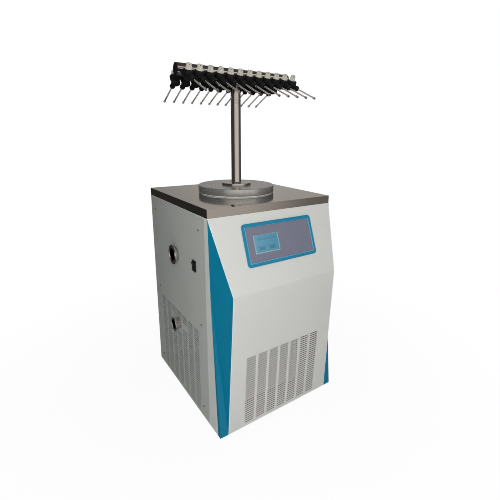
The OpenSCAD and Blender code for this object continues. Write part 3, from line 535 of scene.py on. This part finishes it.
def coated(node, material):
    """Gives a CAD node its finish."""
    mesh = frame["nodes"][node].data
    mesh.materials.clear()
    mesh.materials.append(material)


# ---------------------------------------------------------------- places

lid_low, lid_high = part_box("lid")
post_low, post_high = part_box("post")
panel_low, panel_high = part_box("left_panel")
bezel_low, bezel_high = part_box("display_bezel")
screen_low, screen_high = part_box("touch_screen")
bar_ends_low, bar_ends_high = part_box("bar_end_plugs")
bar_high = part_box("manifold_bar")[1]
cover_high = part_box("front_cover")[1]
bar_axis_z = (bar_ends_low.z + bar_ends_high.z) / 2

key_joints = [joint for joint in frame["joints"] if joint["name"].endswith("_turn")]
key_points = [Vector(joint["pos_m"]) for joint in key_joints]
bar_line = (key_points[1] - key_points[0]).normalized()
bar_turn = math.atan2(bar_line.y, bar_line.x)


def valve_place(point, up):
    """The place of a valve from its key's point and axis: +X along the flow, +Z up the key."""
    flow = up.cross(bar_line)
    flow *= math.copysign(1.0, -flow.z)
    start = point - flow * ((point.z - bar_axis_z) / flow.z)
    place = Matrix((flow, up.cross(flow), up)).transposed().to_4x4()
    place.translation = start
    return place


valves = []
for joint, point in zip(key_joints, key_points):
    valves.append((joint["child"], valve_place(point, Vector(joint["axis"]).normalized())))
key_at = (key_points[0] - valves[0][1].translation).length / MM

ALONG_X = Matrix.Rotation(math.pi / 2, 4, "Y")
on_bar = Matrix.Translation((0, 0, bar_axis_z)) @ Matrix.Rotation(bar_turn, 4, "Z")

# ---------------------------------------------------------------- the object's finishes

bezel_centre = (bezel_low + bezel_high) / 2
screen_centre = (screen_low + screen_high) / 2
cover_slope = math.atan2(cover_high.y - bezel_high.y, cover_high.z - bezel_high.z)

# the control panel, in mm: half sizes of its face, of the printed frame around the display
# and of the display, and the lip inside the bezel
FACE_HALF_W, FACE_HALF_H = 135.0, 59.5
WINDOW_HALF_W, WINDOW_HALF_H = 50.6, 32.6
LCD_HALF_W, LCD_HALF_H = 46.5, 28.5
BEZEL_LIP = 3.5

# the front cover, in mm: height of its fold, half width there and at the top, how fast the
# half width grows above the fold and below it, and the painted highlight along its side edges
FOLD_Z, FOLD_HALF, TOP_HALF = 548.0, 220.5, 258.2
WIDER_ABOVE, WIDER_BELOW = 0.1632, 0.01415
EDGE_HIGHLIGHT = 2.2

# the panels, in metres: the painted highlight band under the deck, and half the width of
# the frame's web, which is painted dark as shade
TOP_HIGHLIGHT_BAND, WEB_HALF = 0.0025, 0.25


def panel_axes(made, centre):
    """Distance from a centre across the control panel and up its slope, in mm."""
    x, y, z = made.axes()
    return (x - centre.x) / MM, (z - centre.z) / (MM * math.cos(cover_slope))


def bezel_tones(made, skin):
    """A lighter lip along the inner edge of the control panel's frame."""
    u, v = panel_axes(made, bezel_centre)
    beyond = (abs(u) - FACE_HALF_W).larger(abs(v) - FACE_HALF_H)
    return made.mix(beyond < BEZEL_LIP, skin, rgb(96, 168, 202))


def lcd(name, glow, glow_right, ink):
    """A lit display: short strokes, a ruled line and two touch fields, no lettering."""
    made = Finish(name)
    u, v = panel_axes(made, screen_centre)
    half_w, half_h = LCD_HALF_W, LCD_HALF_H
    rows = ((v + half_h) / 6.2).wave() > 0.2
    drawn_out = made.node("ShaderNodeCombineXYZ", None, u, 2.0 * v, 0.0)[0]
    strokes = made.noise(0.35, 2.0, drawn_out) > 0.5
    text = v.between(-6.0, 0.72 * half_h) * (abs(u) < 0.8 * half_w) * rows * strokes
    field = v.between(-0.78 * half_h, -0.36 * half_h)
    touch = field * (abs(abs(u) - 0.45 * half_w) < 0.26 * half_w)
    ruled = (abs(v + 0.26 * half_h) < 0.5) * (abs(u) < 0.85 * half_w)
    drawn = (0.45 * text + 0.5 * touch + 0.6 * ruled).clipped()
    cells = ((u * 12.0).wave() * (v * 12.0).wave()) * 0.5 + 0.5
    backlight = made.mix((0.5 + u / (2 * half_w)).clipped(), glow, glow_right)
    picture = made.mix(drawn, backlight, ink)
    return made.surface(
        Base_Color=picture, Roughness=0.22 + 0.06 * cells,
        Emission_Color=picture, Emission_Strength=0.2,
        Coat_Weight=0.3 + 0.2 * made.noise(60.0, 2.0), Coat_Roughness=0.1)


def panel_film(name, colour, rim):
    """Matt printed film, with a paler frame around the display's window."""
    made = Finish(name)
    u, v = panel_axes(made, screen_centre)
    window = (abs(u) < WINDOW_HALF_W) * (abs(v) < WINDOW_HALF_H)
    grain = made.noise(2400.0, 2.0)
    cloud = made.noise(12.0, 2.0)
    film = made.mix(cloud, shade(colour, 0.96), shade(colour, 1.05))
    return made.surface(
        Base_Color=made.mix(window, film, rim),
        Roughness=0.5 - 0.12 * window + 0.08 * (grain - 0.5),
        Specular_IOR_Level=0.35,
        Normal=made.bump(grain, 0.00002))


def panel_tones(made, paint):
    """Pale on the front frame's side strips, painted highlight on the panels' upper edges, painted
    shade on its web.
    """
    x, y, z = made.axes()
    strip = y < panel_low.y
    # the band along the panels' upper edges is a painted highlight; the side strips are paler paint
    pale = strip.larger(z > panel_high.z - TOP_HIGHLIGHT_BAND)
    lightened = made.mix(pale, paint, rgb(226, 230, 224))
    # the frame's web behind the slots is painted dark as shade
    return made.mix(strip * (abs(x) < WEB_HALF), lightened, rgb(58, 58, 56))


def cover_tones(made, paint):
    """A painted highlight along the folded side edges of the front cover."""
    x, y, z = made.axes()
    over = z / MM - FOLD_Z
    half = (FOLD_HALF + (WIDER_ABOVE * over).larger(-WIDER_BELOW * over)).smaller(TOP_HALF)
    # a pale line painted as the highlight on the cover's folded side edges
    return made.mix(abs(x) / MM > half - EDGE_HIGHLIGHT, paint, rgb(236, 248, 250))


STEEL = (0.56, 0.52, 0.48)
finishes = {
    "frame_paint": powder_coat("frame_paint", rgb(62, 63, 65), 0.45),
    "panel_grey": powder_coat("panel_grey", rgb(198, 202, 196), 0.45, toned=panel_tones),
    "cover_white": powder_coat("cover_white", rgb(218, 219, 214), 0.42, toned=cover_tones),
    "cheek_blue": powder_coat("cheek_blue", rgb(0, 124, 157), 0.36, specular=0.2),
    "compressor_paint": powder_coat("compressor_paint", rgb(24, 24, 26), 0.25, coat=0.4),
    "deck_steel": brushed("deck_steel", STEEL, 0, 0.09, 0.08),
    "trap_steel": brushed("trap_steel", (0.5, 0.5, 0.49), 2, 0.3),
    "lid_steel": turned_metal("lid_steel", (0.46, 0.455, 0.44), 0.26),
    "tube_steel": polished("tube_steel", (0.56, 0.53, 0.5), 0.14),
    "screw_steel": polished("screw_steel", (0.66, 0.65, 0.63), 0.2),
    "port_chrome": polished("port_chrome", (0.62, 0.6, 0.59), 0.1),
    "copper": polished("copper", (0.78, 0.36, 0.2), 0.25),
    "condenser_aluminium": finned("condenser_aluminium", (0.72, 0.72, 0.72), 0.0024),
    "black_rubber": rubber("black_rubber", (0.006, 0.006, 0.0065)),
    "gasket_silicone": rubber("gasket_silicone", rgb(206, 206, 202), 0.4),
    "foam": foam("foam", rgb(226, 214, 172)),
    "black_plastic": moulded("black_plastic", (0.012, 0.012, 0.013), 0.38),
    "key_plastic": moulded("key_plastic", rgb(205, 201, 190), 0.42),
    "bezel_blue": moulded("bezel_blue", rgb(12, 130, 164), 0.35, toned=bezel_tones),
    "face_grey": panel_film("face_grey", rgb(122, 123, 140), rgb(146, 180, 194)),
    "screen_glass": lcd("screen_glass", rgb(88, 142, 168), rgb(64, 132, 156), rgb(42, 84, 110)),
    "board_green": circuit_board("board_green", (0.012, 0.12, 0.05)),
    "clear_glass": drawn_glass("clear_glass"),
}

slot_of = {row["node"]: row["material_slot"] for row in frame["record"]["subparts"]}
for node, slot_name in slot_of.items():
    coated(node, finishes[slot_name])


def dressed(piece, node, *more):
    """A piece that stands for a CAD node: its body and its finish are that node's."""
    body = frame["nodes"][node]["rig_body"]
    slot_name = slot_of[node]
    return fitted(piece, body, slot_name, finishes[slot_name], node, *more)


# ---------------------------------------------------------------- cabinet

def softened(name, node, width, segments=2):
    """A CAD node's form with its edges rounded."""
    return dressed(rounded(from_cad(name, node), width, segments=segments), node)


def bent(piece, height, radius):
    """Rounds the fold of a sheet: its long level edges at a height."""
    def at_fold(point):
        return abs(point.z - height) < 1e-4

    pick(piece)
    mesh = piece.data
    bpy.ops.object.mode_set(mode="EDIT")
    bpy.ops.mesh.select_mode(type="EDGE")
    bpy.ops.mesh.select_all(action="DESELECT")
    bpy.ops.object.mode_set(mode="OBJECT")
    for edge in mesh.edges:
        a, b = (mesh.vertices[i].co for i in edge.vertices)
        edge.select = at_fold(a) and at_fold(b) and abs(a.x - b.x) > 0.01
    bpy.ops.object.mode_set(mode="EDIT")
    bpy.ops.mesh.bevel(offset=radius * MM, segments=5, affect="EDGES")
    bpy.ops.object.mode_set(mode="OBJECT")
    return piece


fold_height = min(
    (v.co for v in frame["nodes"]["front_cover"].data.vertices), key=lambda co: co.y).z
cover = bent(from_cad("front_cover_sheet", "front_cover"), fold_height, 4.0)
dressed(rounded(cover, 0.4), "front_cover")
for side in ("left", "right"):
    softened(side + "_cheek_shell", side + "_cheek", 0.9)
    softened(side + "_panel_sheet", side + "_panel", 0.3)
softened("rear_panel_sheet", "rear_panel", 0.3)
softened("front_frame_sheet", "front_frame", 0.4)
softened("deck_tray", "deck", 0.7, segments=3)
softened("rubber_feet", "feet", 0.8)
softened("slotted_screws", "panel_screws", 0.25)
softened("inlet_socket", "power_inlet", 0.4)
softened("switch_frame", "switch_housing", 0.5)
softened("switch_button", "switch_rocker", 0.4)
softened("vacuum_flange", "vacuum_port", 0.5)
softened("drain_flange", "drain_port", 0.5)
softened("panel_bezel", "display_bezel", 1.4, segments=4)
softened("panel_face", "display_face", 0.3)
softened("display_glass", "touch_screen", 0.25)


# ---------------------------------------------------------------- lid and post

def above(point):
    """A place on the middle axis, at a point's height."""
    return Matrix.Translation((0, 0, point.z))


lid_rim = (lid_high.x - lid_low.x) / 2 / MM
lid_thick = (lid_high.z - lid_low.z) / MM
post_bore = 17.0
recess_r, recess_h = 129.0, 15.0
lid_side = [
    (post_bore, recess_h), (recess_r, recess_h), (recess_r, 0.4), (recess_r + 0.4, 0.0),
    (lid_rim - 1.6, 0.0), (lid_rim - 0.5, 0.5), (lid_rim, 1.6),
    (lid_rim, lid_thick - 2.2), (lid_rim - 0.6, lid_thick - 0.7), (lid_rim - 2.2, lid_thick),
    (lid_rim - 9.0, lid_thick), (lid_rim - 9.3, lid_thick - 0.3),
    (lid_rim - 9.9, lid_thick - 0.3), (lid_rim - 10.2, lid_thick),
    (post_bore, lid_thick), (post_bore, recess_h)]
dressed(smoothed(turned("turned_lid", lid_side, 128, above(lid_low)), 30), "lid")

gasket_low, gasket_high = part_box("lid_gasket")
gasket_r = gasket_high.x / MM
gasket_h = (gasket_high.z - gasket_low.z) / MM
gasket_in = 130.0
gasket_side = [
    (gasket_in, 0.6), (gasket_in + 0.6, 0.0), (gasket_r - 1.2, 0.0), (gasket_r - 0.3, 0.7),
    (gasket_r, gasket_h / 2), (gasket_r - 0.3, gasket_h - 0.7), (gasket_r - 1.2, gasket_h),
    (gasket_in + 0.6, gasket_h), (gasket_in, gasket_h - 0.6), (gasket_in, 0.6)]
dressed(smoothed(turned("moulded_gasket", gasket_side, 128, above(gasket_low)), 40), "lid_gasket")

flange_r = post_high.x / MM
bar_r = 22.0
tube_r = 19.0
post_top = (bar_axis_z - post_low.z) / MM
post_side = [
    (post_bore, 0.0), (flange_r - 0.8, 0.0), (flange_r, 0.8), (flange_r, 7.0),
    (flange_r - 0.3, 7.7), (flange_r - 1.0, 8.0), (23.0, 8.0), (21.2, 8.5), (19.9, 9.7),
    (19.2, 11.2), (tube_r, 13.0), (tube_r, post_top), (post_bore, post_top), (post_bore, 0.0)]
post = turned("welded_post", post_side, 64, above(post_low))
saddle = added(
    "saddle_cutter", bpy.ops.mesh.primitive_cylinder_add, vertices=96, radius=bar_r * MM, depth=0.1)
settled(saddle, on_bar @ ALONG_X)
dressed(smoothed(combined(post, saddle, "DIFFERENCE"), 30), "post")

# ---------------------------------------------------------------- manifold

half_bar = (bar_high.x / MM + bar_r * math.sin(bar_turn)) / math.cos(bar_turn)
bore_r = 20.5
bar_side = [
    (bore_r, -half_bar), (bar_r - 0.4, -half_bar), (bar_r, 0.4 - half_bar),
    (bar_r, half_bar - 0.4), (bar_r - 0.4, half_bar), (bore_r, half_bar), (bore_r, -half_bar)]
bar = turned("manifold_tube", bar_side, 96, on_bar @ ALONG_X)
stub_side = [
    (4.5, 21.2), (8.0, 21.2), (7.3, 22.6), (6.5, 23.8), (6.0, 25.4), (6.0, 45.4),
    (5.4, 46.0), (4.5, 46.0), (4.5, 21.2)]
stub = turned("stub", stub_side, 24, ALONG_X)
stubs = joined([copied(stub, "stub_" + key, place) for key, place in valves], "stubs")
bpy.data.objects.remove(stub)
dressed(smoothed(combined(bar, stubs), 30), "manifold_bar")

# the bead of the weld that runs round the post's top, where it meets the bar
bead = added(
    "post_weld", bpy.ops.mesh.primitive_torus_add, major_segments=72, minor_segments=10,
    major_radius=(tube_r + 0.2) * MM, minor_radius=1.2 * MM)
for vertex in bead.data.vertices:
    y = max(-bar_r, min(bar_r, vertex.co.y / MM))
    vertex.co.z += bar_axis_z - math.sqrt(bar_r * bar_r - y * y) * MM
smoothed(settled(bead, Matrix.Rotation(bar_turn, 4, "Z")), 60)
fitted(bead, "cabinet", slot_of["post"], finishes["tube_steel"])

plug_side = [
    (0.0, half_bar - 14.0), (bore_r - 1.2, half_bar - 14.0), (bore_r - 0.2, half_bar - 13.0),
    (bore_r - 0.2, half_bar), (bar_r, half_bar), (bar_r, half_bar + 1.8),
    (bar_r - 0.4, half_bar + 2.6), (bar_r - 1.4, half_bar + 3.0), (9.0, half_bar + 3.0),
    (7.6, half_bar + 2.5), (0.0, half_bar + 2.3)]
plug = turned("bar_plugs", plug_side, 64, ALONG_X)
far_plug = copied(plug, "far_plug", on_bar @ Matrix.Rotation(math.pi, 4, "Z"))
settled(plug, on_bar)
dressed(smoothed(joined([plug, far_plug], "bar_plugs"), 40), "bar_end_plugs")

# ---------------------------------------------------------------- rubber valves

def ball(radius, centre, start, end, steps):
    """Points of a ball's side line between two angles from its near pole."""
    angles = [math.radians(start + (end - start) * i / steps) for i in range(steps + 1)]
    return [(radius * math.sin(a), centre - radius * math.cos(a)) for a in angles]


# the body from the tube's stub to the ball of its nozzle, and the upright barrel for the key
nozzle_r, nozzle_at = 10.0, 112.0
body_side = [
    (0.0, 46.0), (6.2, 46.0), (6.2, 27.4), (6.6, 27.0), (10.2, 27.0), (11.0, 27.9), (11.0, 31.2),
    (10.2, 32.2), (10.2, 34.4), (11.0, 35.4), (11.0, 88.0), (10.6, 92.0), (9.6, 96.0), (8.4, 99.5),
    (8.1, 102.0), *ball(nozzle_r, nozzle_at, 52.0, 162.0, 14), (2.85, 121.4), (2.85, 101.0),
    (0.0, 101.0)]
barrel_side = [
    (0.0, -16.0), (13.2, -16.0), (14.8, -15.3), (15.5, -13.8), (15.5, 0.5), (16.1, 1.6),
    (17.4, 2.8), (18.0, 4.0), (18.0, 16.4), (17.6, 17.4), (16.6, 18.0), (7.1, 18.0),
    (7.1, -9.4), (0.0, -9.4)]
valve = turned("valve", body_side, 40, ALONG_X)
barrel_place = Matrix.Translation((key_at * MM, 0, 0))
valve = smoothed(combined(valve, turned("barrel", barrel_side, 48, barrel_place)), 32)

# ---------------------------------------------------------------- valve keys

key_base = 18.3
key_side = [
    (0.0, -9.0), (6.6, -9.0), (7.0, -8.6), (7.0, key_base), (11.2, key_base),
    (12.0, key_base + 0.8), (12.0, key_base + 2.5), (11.5, key_base + 3.2),
    (10.7, key_base + 3.5), (0.0, key_base + 3.5)]
key = turned("key", key_side, 48)
grip_low, grip_h, grip_half = key_base + 3.0, 17.5, 6.5
grip = added(
    "grip", bpy.ops.mesh.primitive_cone_add, vertices=48, radius1=11.3 * MM, radius2=7.6 * MM,
    depth=grip_h * MM, location=(0, 0, (grip_low + grip_h / 2) * MM))

# the cone is cut to two flats, and each flat gets a shallow dish for a fingertip
bpy.ops.object.mode_set(mode="EDIT")
for sign in (-1, 1):
    bpy.ops.mesh.select_all(action="SELECT")
    bpy.ops.mesh.bisect(
        plane_co=(sign * grip_half * MM, 0, 0), plane_no=(sign, 0, 0),
        use_fill=True, clear_outer=True)
bpy.ops.object.mode_set(mode="OBJECT")
rounded(grip, 1.1, 40, 3)
pick(grip)
for sign in (-1, 1):
    bpy.ops.object.mode_set(mode="EDIT")
    bpy.ops.mesh.select_mode(type="FACE")
    bpy.ops.mesh.select_all(action="DESELECT")
    bpy.ops.object.mode_set(mode="OBJECT")
    for face in grip.data.polygons:
        face.select = face.normal.x * sign > 0.999 and face.area > 1e-4
    bpy.ops.object.mode_set(mode="EDIT")
    bpy.ops.mesh.inset(thickness=0.0022, use_even_offset=False)
    bpy.ops.mesh.inset(thickness=0.0008, depth=-0.0007, use_even_offset=False)
    bpy.ops.object.mode_set(mode="OBJECT")
key = smoothed(combined(key, grip), 32)

# ---------------------------------------------------------------- ampoules

# heights along the flow; the stem swells to the bulb beyond the end of its neck
stem_r, bulb_r, wall = 2.7, 4.25, 0.7
open_end, neck_end, swell, tip = 101.0, 219.5, 6.0, 236.0


def ampoule_line(thinner):
    """The side line from the open end over the bulb to the tip, thinner for the inner wall."""
    stem, bulb, centre = stem_r - thinner, bulb_r - thinner, tip - bulb_r
    neck = [
        (stem + (bulb - stem) * (1 - math.cos(math.pi * i / 6)) / 2, neck_end + swell * i / 6)
        for i in range(7)]
    dome = [(bulb * math.cos(math.radians(a)), centre + bulb * math.sin(math.radians(a)))
            for a in range(0, 90, 15)]
    return [(stem, open_end), *neck, *dome, (0.0, tip - thinner)]


ampoule_side = ampoule_line(0.0) + ampoule_line(wall)[::-1]
ampoule = turned("ampoule", ampoule_side, 24, ALONG_X)
smoothed(ampoule, 60)

for key_node, place in valves:
    tag = key_node.replace("_key", "")
    for source, name, node in (
            (valve, "valve_" + tag, "valve_bodies"), (key, "turning_" + key_node, key_node),
            (ampoule, "glass_" + tag, "ampoules")):
        at = place @ barrel_place if source is key else place
        dressed(copied(source, name, at), node)
for source in (valve, key, ampoule):
    bpy.data.objects.remove(source)

# ---------------------------------------------------------------- deck plug

plug_low, plug_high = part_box("deck_plug")
plug_at = (plug_low + plug_high) / 2
plug_top = (plug_high.z - plug_low.z) / MM
plug_r = (plug_high.x - plug_low.x) / 2 / MM
deck_plug_side = [
    (0.0, 0.0), (plug_r - 2.4, 0.0), (plug_r - 2.0, 0.4), (plug_r - 2.0, plug_top - 1.2),
    (plug_r, plug_top - 1.2), (plug_r, plug_top - 0.8), (plug_r - 0.7, plug_top - 0.2),
    (plug_r - 2.5, plug_top), (0.0, plug_top)]
deck_plug = turned(
    "deck_plug_cap", deck_plug_side, 40, Matrix.Translation((plug_at.x, plug_at.y, plug_low.z)))
dressed(smoothed(deck_plug, 40), "deck_plug")

# ---------------------------------------------------------------- camera

azimuth, elevation, roll = math.radians(-36.54), math.radians(13.87), math.radians(1.05)
back = Vector((
    math.sin(azimuth) * math.cos(elevation), -math.cos(azimuth) * math.cos(elevation),
    math.sin(elevation)))
level = back.cross(Vector((0, 0, -1))).normalized()
upright = back.cross(level)
right = math.cos(roll) * level + math.sin(roll) * upright
top = math.cos(roll) * upright - math.sin(roll) * level
eye = Matrix((right, top, back)).transposed().to_4x4()
eye.translation = (-0.7445, -1.2734, 1.0548)

camera = linked("camera", bpy.data.cameras.new("camera"))
camera.matrix_world = eye
camera.data.sensor_width = 36.0
camera.data.lens = 26.36
camera.data.shift_x = -0.0508
camera.data.shift_y = -0.055
camera.data.clip_start = 0.05
camera.data.clip_end = 60.0
bpy.context.scene.camera = camera

# ---------------------------------------------------------------- studio

AMBIENT = 0.24                          # light from all round, where the white set isn't seen
PAPER_SHARE = 0.95                      # how much of the floor near the object is plain white
FADE_START, FADE_WIDTH = 0.45, 0.9      # where the floor's shadow fades, from the middle
ROOM_R, ROOM_Z = 3.2, 0.8


def unseen(piece, *rays):
    """Hides a piece from some kinds of ray."""
    for ray in rays:
        setattr(piece, "visible_" + ray, False)


def lamp(name, place, aim, size, power):
    """A square soft box at a place, facing a point. Polished metal doesn't mirror it."""
    light = bpy.data.lights.new(name, "AREA")
    light.size = size
    light.energy = power
    box = linked(name, light)
    box.location = place
    box.rotation_mode = "QUATERNION"
    box.rotation_quaternion = (Vector(place) - Vector(aim)).to_track_quat("Z", "Y")
    unseen(box, "glossy")


lamp("key_light", (-1.02, -1.85, 1.4), (0.0, -0.2, 0.6), 0.9, 24.0)
lamp("top_light", (0.2, -0.6, 2.9), (0.0, 0.0, 0.8), 1.6, 8.0)


def looking(made):
    """1 for a ray that sees the white set, 0 for one that only gathers light."""
    path = made.node("ShaderNodeLightPath")
    seen = path["Is Camera Ray"].larger(path["Is Glossy Ray"])
    return seen.larger(path["Is Transmission Ray"])


world = bpy.data.worlds.new("studio")
bpy.context.scene.world = world
sky = Finish("studio", world)
brightness = AMBIENT + (1.0 - AMBIENT) * looking(sky)
background = sky.node("ShaderNodeBackground", None, (1.0, 1.0, 1.0), brightness)[0]
sky.node("ShaderNodeOutputWorld", None, Surface=background)
world.cycles.sampling_method = "NONE"
bpy.context.scene.cycles.filter_width = 0.9

# the floor: white paper that keeps a soft shadow near the object and fades into the background
floor = added("floor", bpy.ops.mesh.primitive_plane_add, size=24.0, location=(0, 0, 0))
paper = Finish("paper")
x, y, z = paper.axes()
far = (((x * x + y * y) ** 0.5 - FADE_START) / FADE_WIDTH).clipped()
share = looking(paper) * (PAPER_SHARE + (1.0 - PAPER_SHARE) * far)
matt = paper.node("ShaderNodeBsdfDiffuse", None, (0.9, 0.9, 0.9))[0]
white = paper.node("ShaderNodeEmission", None, (1.0, 1.0, 1.0))[0]
blend = paper.node("ShaderNodeMixShader", None, share, matt, white)[0]
floor.data.materials.append(paper.close(blend))
unseen(floor, "glossy")

# a dark card beside the back left corner, which takes light away from the side panel
card = added(
    "dark_card", bpy.ops.mesh.primitive_plane_add, size=1.3, location=(-0.85, 0.75, 0.65),
    rotation=(0, math.pi / 2, 0))
felt = Finish("felt")
black = felt.node("ShaderNodeBsdfDiffuse", None, (0.01, 0.01, 0.01))[0]
card.data.materials.append(felt.close(black))
unseen(card, "camera", "glossy", "transmission", "volume_scatter")

# the room that polished metal mirrors: (degrees from the back towards the right, brightness)
high_walls = [
    (-180, 0.9), (-135, 0.8), (-120, 0.6), (-113, 0.06), (94, 0.06), (125, 0.12), (139, 0.28),
    (147, 0.5), (156, 0.85), (180, 0.9)]
low_walls = [
    (-180, 0.62), (-135, 0.5), (-113, 0.03), (94, 0.03), (139, 0.2), (152, 0.55), (180, 0.62)]
back_screen = [(-6, 0.2), (10, 0.28), (20, 0.36), (30, 0.48), (42, 0.42), (52, 0.4)]
room = added(
    "mirrored_room", bpy.ops.mesh.primitive_uv_sphere_add, segments=96, ring_count=48,
    radius=ROOM_R, location=(0, 0, ROOM_Z))
walls = Finish("mirrored_room")
x, y, z = walls.axes()
heading = walls.node("ShaderNodeMath", {"operation": "ARCTAN2"}, x, y)[0] * (1 / FULL_TURN) + 0.5


def bearing(angle):
    """The heading of an angle in degrees, from 0 to 1 all round."""
    return 0.5 + angle / 360


def around(tones):
    """The brightness all round, from a list of angles."""
    stops = [(bearing(angle), (tone, 0.95 * tone, 0.9 * tone)) for angle, tone in tones]
    return walls.node("ShaderNodeValToRGB", {"stops": stops}, heading)["Color"]


low_strips = z.between(-0.38, -0.345) + z.between(-1.07, -1.03)
layers = [
    (z > 0.45, around(high_walls)),
    # the ceiling, and a band of light across its front half
    (z > 2.2, (0.08, 0.07, 0.06)),
    (z.between(2.7, 3.2) * (y < 0.0), (0.95, 0.95, 0.95)),
    # two thin strips of light below the ground at the back left
    (heading.between(bearing(-50), bearing(0)) * low_strips, (0.95, 0.9, 0.88)),
    # a grey screen at the back right
    (heading.between(bearing(-6), bearing(52)) * z.between(0.6, 2.5), around(back_screen)),
]
tone = around(low_walls)
for mask, colour in layers:
    tone = walls.mix(mask, tone, colour)
room.data.materials.append(walls.close(walls.node("ShaderNodeEmission", None, tone)[0]))
unseen(room, "camera", "diffuse", "transmission", "volume_scatter", "shadow")

bpy.context.scene.view_settings.view_transform = "Standard"
